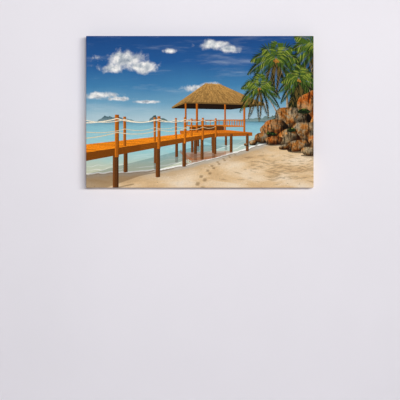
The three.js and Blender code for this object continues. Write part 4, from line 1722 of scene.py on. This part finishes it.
class WALL_PRINT_OT_finish_hangers(bpy.types.Operator):
    """Dresses the straps, and models the rings and the cross-recessed screws in place of the plain ones"""

    bl_idname = "wall_print.finish_hangers"
    bl_label = "Ring Hangers"

    def ring(self, steel):
        """A D ring of bent wire that turns about the X axis, with its bow towards +Z."""
        deselect_all()
        upright = (math.pi / 2, 0, 0)
        bpy.ops.mesh.primitive_circle_add(vertices=48, radius=RING_HALF_WIDTH * MM, rotation=upright)
        made = start_piece("ring")
        apply_place()
        bpy.ops.object.mode_set(mode="EDIT")
        pick(made, "verts", lambda v: v.co.z < -1e-6)
        bpy.ops.mesh.delete(type="VERT")
        bpy.ops.mesh.select_all(action="SELECT")
        bpy.ops.transform.translate(value=(0, 0, RING_ARM * MM))
        # Bend the ends down into arms and join them by the straight side that the strap holds
        pick(made, "verts", lambda v: v.co.z < RING_ARM * MM + 1e-6)
        bpy.ops.mesh.extrude_region_move(TRANSFORM_OT_translate={"value": (0, 0, -RING_ARM * MM)})
        bpy.ops.mesh.edge_face_add()
        bpy.ops.mesh.bevel(offset=RING_BEND * MM, segments=5, affect="VERTICES")
        bpy.ops.object.mode_set(mode="OBJECT")
        bpy.ops.object.convert(target="CURVE")
        made.data.bevel_depth = RING_WIRE * MM
        made.data.bevel_resolution = 6
        bpy.ops.object.convert(target="MESH")
        return settle(made, steel, 60)

    def recess(self, head, turn):
        """Cuts one tapered slot of the cross into a screw's head."""
        deselect_all()
        bpy.ops.mesh.primitive_cube_add(size=1.0, rotation=(0, 0, turn))
        blade = start_piece("blade")
        blade.scale = [size * MM for size in BLADE_SIZE]
        blade.location = (0, 0, (HEAD_HEIGHT + BLADE_LIFT) * MM)
        apply_place()
        bpy.ops.object.mode_set(mode="EDIT")
        pick(blade, "faces", lambda f: f.normal.z < -0.9)
        bpy.ops.transform.resize(value=(BLADE_FOOT, BLADE_FOOT, 1))
        bpy.ops.object.mode_set(mode="OBJECT")
        make_active(head)
        cut = head.modifiers.new("recess", "BOOLEAN")
        cut.operation = "DIFFERENCE"
        cut.solver = "EXACT"
        cut.object = blade
        bpy.ops.object.modifier_apply(modifier=cut.name)
        bpy.data.objects.remove(blade)

    def screw(self, radius, steel):
        """A pan-head screw with its seat at the origin, head towards +Y."""
        deselect_all()
        bpy.ops.mesh.primitive_cylinder_add(vertices=32, radius=radius, depth=HEAD_HEIGHT * MM)
        head = start_piece("screw")
        head.location = (0, 0, HEAD_HEIGHT / 2 * MM)
        apply_place()
        bpy.ops.object.mode_set(mode="EDIT")
        # Round the rim into a low pan, then draw the shank and its point out of the seat
        pick(head, "edges", lambda e: all(v.co.z > HEAD_HEIGHT * MM * 0.9 for v in e.verts))
        bpy.ops.mesh.bevel(offset=HEAD_ROUND * MM, segments=5, affect="EDGES")
        pick(head, "faces", lambda f: f.normal.z < -0.9)
        bpy.ops.mesh.inset(thickness=radius - SHANK_RADIUS * MM)
        for length in (SHANK_LENGTH - POINT_LENGTH, POINT_LENGTH):
            bpy.ops.mesh.extrude_region_move(TRANSFORM_OT_translate={"value": (0, 0, -length * MM)})
        bpy.ops.transform.resize(value=(POINT_TIP, POINT_TIP, 1))
        bpy.ops.object.mode_set(mode="OBJECT")
        for turn in (0, math.pi / 2):
            self.recess(head, turn)
        head.rotation_euler = (-math.pi / 2, 0, 0)
        return settle(head, steel, 30)

    def execute(self, context):
        settings = context.scene.wall_print_fasteners
        steel = zinc_steel("Zinc Plated Strap Steel", settings.zinc, 0.3)
        bright = zinc_steel("Zinc Plated Wire", settings.wire, 0.22)
        dress(["hanger_strap_left", "hanger_strap_right"], steel)
        ring = self.ring(bright)
        screw = self.screw(settings.head / 2, bright)
        rng = random.Random(5)
        for word in ("left", "right"):
            low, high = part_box(f"hanger_ring_{word}")
            axis = ((low.x + high.x) / 2, (low.y + high.y) / 2, low.z + RING_WIRE * MM)
            made = copy_to(ring, f"ring_wire_{word}", axis)
            hand_over(made, f"ring_{word}", f"hanger_ring_{word}")
            for number in (1, 2):
                name = f"hanger_screw_{word}_{number}"
                low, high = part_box(name)
                seat = ((low.x + high.x) / 2, high.y - HEAD_HEIGHT * MM, (low.z + high.z) / 2)
                made = copy_to(screw, f"screw_{word}_{number}", seat, rng.uniform(0, math.pi))
                hand_over(made, "stretcher", name)
        bpy.data.objects.remove(ring)
        bpy.data.objects.remove(screw)
        return {"FINISHED"}


# How much of a bumper's height its rounding takes up
DOME_SHARE = 0.72


class WALL_PRINT_OT_add_bumpers(bpy.types.Operator):
    """Models a dome of clear rubber and puts copies in place of the plain bumpers"""

    bl_idname = "wall_print.add_bumpers"
    bl_label = "Bumpers"

    def execute(self, context):
        rubber = clear_rubber(context.scene.wall_print_fasteners.rubber)
        low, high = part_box("bumper_left")
        radius, height = (high.x - low.x) / 2, high.y - low.y
        deselect_all()
        bpy.ops.mesh.primitive_cylinder_add(vertices=48, radius=radius, depth=height)
        dome = start_piece("rubber_dome")
        bpy.ops.object.mode_set(mode="EDIT")
        pick(dome, "edges", lambda e: all(v.co.z > height * 0.45 for v in e.verts))
        bpy.ops.mesh.bevel(offset=height * DOME_SHARE, segments=9, affect="EDGES", profile=0.55)
        bpy.ops.object.mode_set(mode="OBJECT")
        dome.rotation_euler = (-math.pi / 2, 0, 0)
        settle(dome, rubber, 50)
        for word in ("left", "right"):
            low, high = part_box(f"bumper_{word}")
            made = copy_to(dome, f"rubber_dome_{word}", (low + high) / 2)
            hand_over(made, "stretcher", f"bumper_{word}")
        bpy.data.objects.remove(dome)
        return {"FINISHED"}


# Camera: how far it stands from the print's front, its place across and up, and its lens and sensor, all
# fitted to the photograph
CAMERA_AWAY = 5000
CAMERA_RIGHT = 0.6
CAMERA_UP = -519.3
LENS = 112.0
SENSOR = 36.0
# The camera's reach and the stage, in metres: the floor's height and depth, the wall's top, half their width
SEES_TO = 60.0
FLOOR_Z = -1.55
FLOOR_DEEP = 7
WALL_TOP = 2.4
STAGE_HALF = 5
# Name, place, width and height in metres, spread in degrees, watts as a share of the band's, and colour. The
# first two are the band of light, low in front from the middle to the far right, with a grid that keeps it
# off the floor. The others light the print's back, through the one-sided wall
LAMPS = (
    ("band_near", (0.9, -7.2, 0.6), 2.3, 0.8, 80, 0.484, "#FFFEFC"),
    ("band_far", (4.0, -6.7, 0.75), 3.2, 0.8, 80, 0.516, "#FFFDFA"),
    ("back_left", (-0.9, 3.4, 0.3), 1.6, 1.6, 180, 0.224, "#FFFFFF"),
    ("back_right", (1.3, 2.9, 1.1), 1.2, 1.2, 180, 0.344, "#FFFDFA"),
)
# Where they all point, in metres
LAMPS_AIM = Vector((-0.35, 0, 0.45))
WORLD_STRENGTH = 0.25


class WALL_PRINT_OT_add_stage(bpy.types.Operator):
    """Camera, wall, floor and soft lights as in the photograph"""

    bl_idname = "wall_print.add_stage"
    bl_label = "Stage"

    def execute(self, context):
        scene = context.scene
        settings = scene.wall_print_stage
        scene.view_settings.view_transform = "Standard"
        camera = bpy.data.cameras.new("camera")
        camera.lens = LENS
        camera.sensor_width = SENSOR
        camera.clip_end = SEES_TO
        seen_from = bpy.data.objects.new("camera", camera)
        seen_from.location = (CAMERA_RIGHT * MM, (FRONT_Y - CAMERA_AWAY) * MM, CAMERA_UP * MM)
        seen_from.rotation_euler = (math.pi / 2, 0, 0)
        scene.collection.objects.link(seen_from)
        scene.camera = seen_from

        # Wall behind the print, and a floor well below it
        wall = matt_paint("Rolled Wall Emulsion", settings.wall)
        floor = matt_paint("Rolled Floor Paint", settings.floor)
        half = STAGE_HALF
        for name, paint, near, far in (
            ("stage_wall", wall, (0, FLOOR_Z), (0, WALL_TOP)),
            ("stage_floor", floor, (-FLOOR_DEEP, FLOOR_Z), (0, FLOOR_Z)),
        ):
            mesh = bpy.data.meshes.new(name)
            corners = ((-half, *near), (half, *near), (half, *far), (-half, *far))
            mesh.from_pydata(corners, [], [(0, 1, 2, 3)])
            mesh.materials.append(paint)
            board = bpy.data.objects.new(name, mesh)
            board.visible_shadow = False
            scene.collection.objects.link(board)

        for name, place, wide, high, spread, share, code in LAMPS:
            lamp = bpy.data.lights.new(name, "AREA")
            lamp.shape = "RECTANGLE"
            lamp.size = wide
            lamp.size_y = high
            lamp.spread = math.radians(spread)
            lamp.energy = settings.band * share
            lamp.color = linear(code)[:3]
            holder = bpy.data.objects.new(name, lamp)
            holder.location = place
            holder.rotation_euler = (LAMPS_AIM - Vector(place)).to_track_quat("-Z", "Y").to_euler()
            holder.visible_camera = False
            scene.collection.objects.link(holder)
        world = bpy.data.worlds.new("soft_daylight")
        world.use_nodes = True
        back = world.node_tree.nodes["Background"]
        back.inputs[0].default_value = linear("#F4F3FA")
        back.inputs[1].default_value = WORLD_STRENGTH
        scene.world = world
        return {"FINISHED"}


class WALL_PRINT_PT_pieces(bpy.types.Panel):
    """The wall print's pieces and settings"""

    bl_idname = "WALL_PRINT_PT_pieces"
    bl_label = "Wall Print"
    bl_space_type = "VIEW_3D"
    bl_region_type = "UI"
    bl_category = "Wall Print"

    def draw(self, context):
        for name, (title, group) in SETTINGS.items():
            box = self.layout.box()
            box.label(text=title)
            for setting in group.__annotations__:
                box.prop(getattr(context.scene, name), setting)
        for piece in PIECES:
            self.layout.operator(piece.bl_idname)


# Settings groups by the scene property that holds them, and the pieces in the order in which they are built
SETTINGS = {
    "wall_print_cloth": ("Canvas", ClothSettings),
    "wall_print_wood": ("Wood", WoodSettings),
    "wall_print_fasteners": ("Fasteners", FastenerSettings),
    "wall_print_stage": ("Stage", StageSettings),
}
PIECES = (
    WALL_PRINT_OT_add_stage,
    WALL_PRINT_OT_add_printed_cloth,
    WALL_PRINT_OT_finish_stretcher,
    WALL_PRINT_OT_add_staples,
    WALL_PRINT_OT_finish_hangers,
    WALL_PRINT_OT_add_bumpers,
)


def register():
    for name, (_, group) in SETTINGS.items():
        bpy.utils.register_class(group)
        setattr(bpy.types.Scene, name, bpy.props.PointerProperty(type=group))
    for made in (*PIECES, WALL_PRINT_PT_pieces):
        bpy.utils.register_class(made)


def unregister():
    for made in reversed((*PIECES, WALL_PRINT_PT_pieces)):
        bpy.utils.unregister_class(made)
    for name, (_, group) in reversed(SETTINGS.items()):
        delattr(bpy.types.Scene, name)
        bpy.utils.unregister_class(group)


def main():
    register()
    bpy.ops.wall_print.add_stage()
    bpy.ops.wall_print.add_printed_cloth()
    bpy.ops.wall_print.finish_stretcher()
    bpy.ops.wall_print.add_staples()
    bpy.ops.wall_print.finish_hangers()
    bpy.ops.wall_print.add_bumpers()


if __name__ == "__main__":
    main()
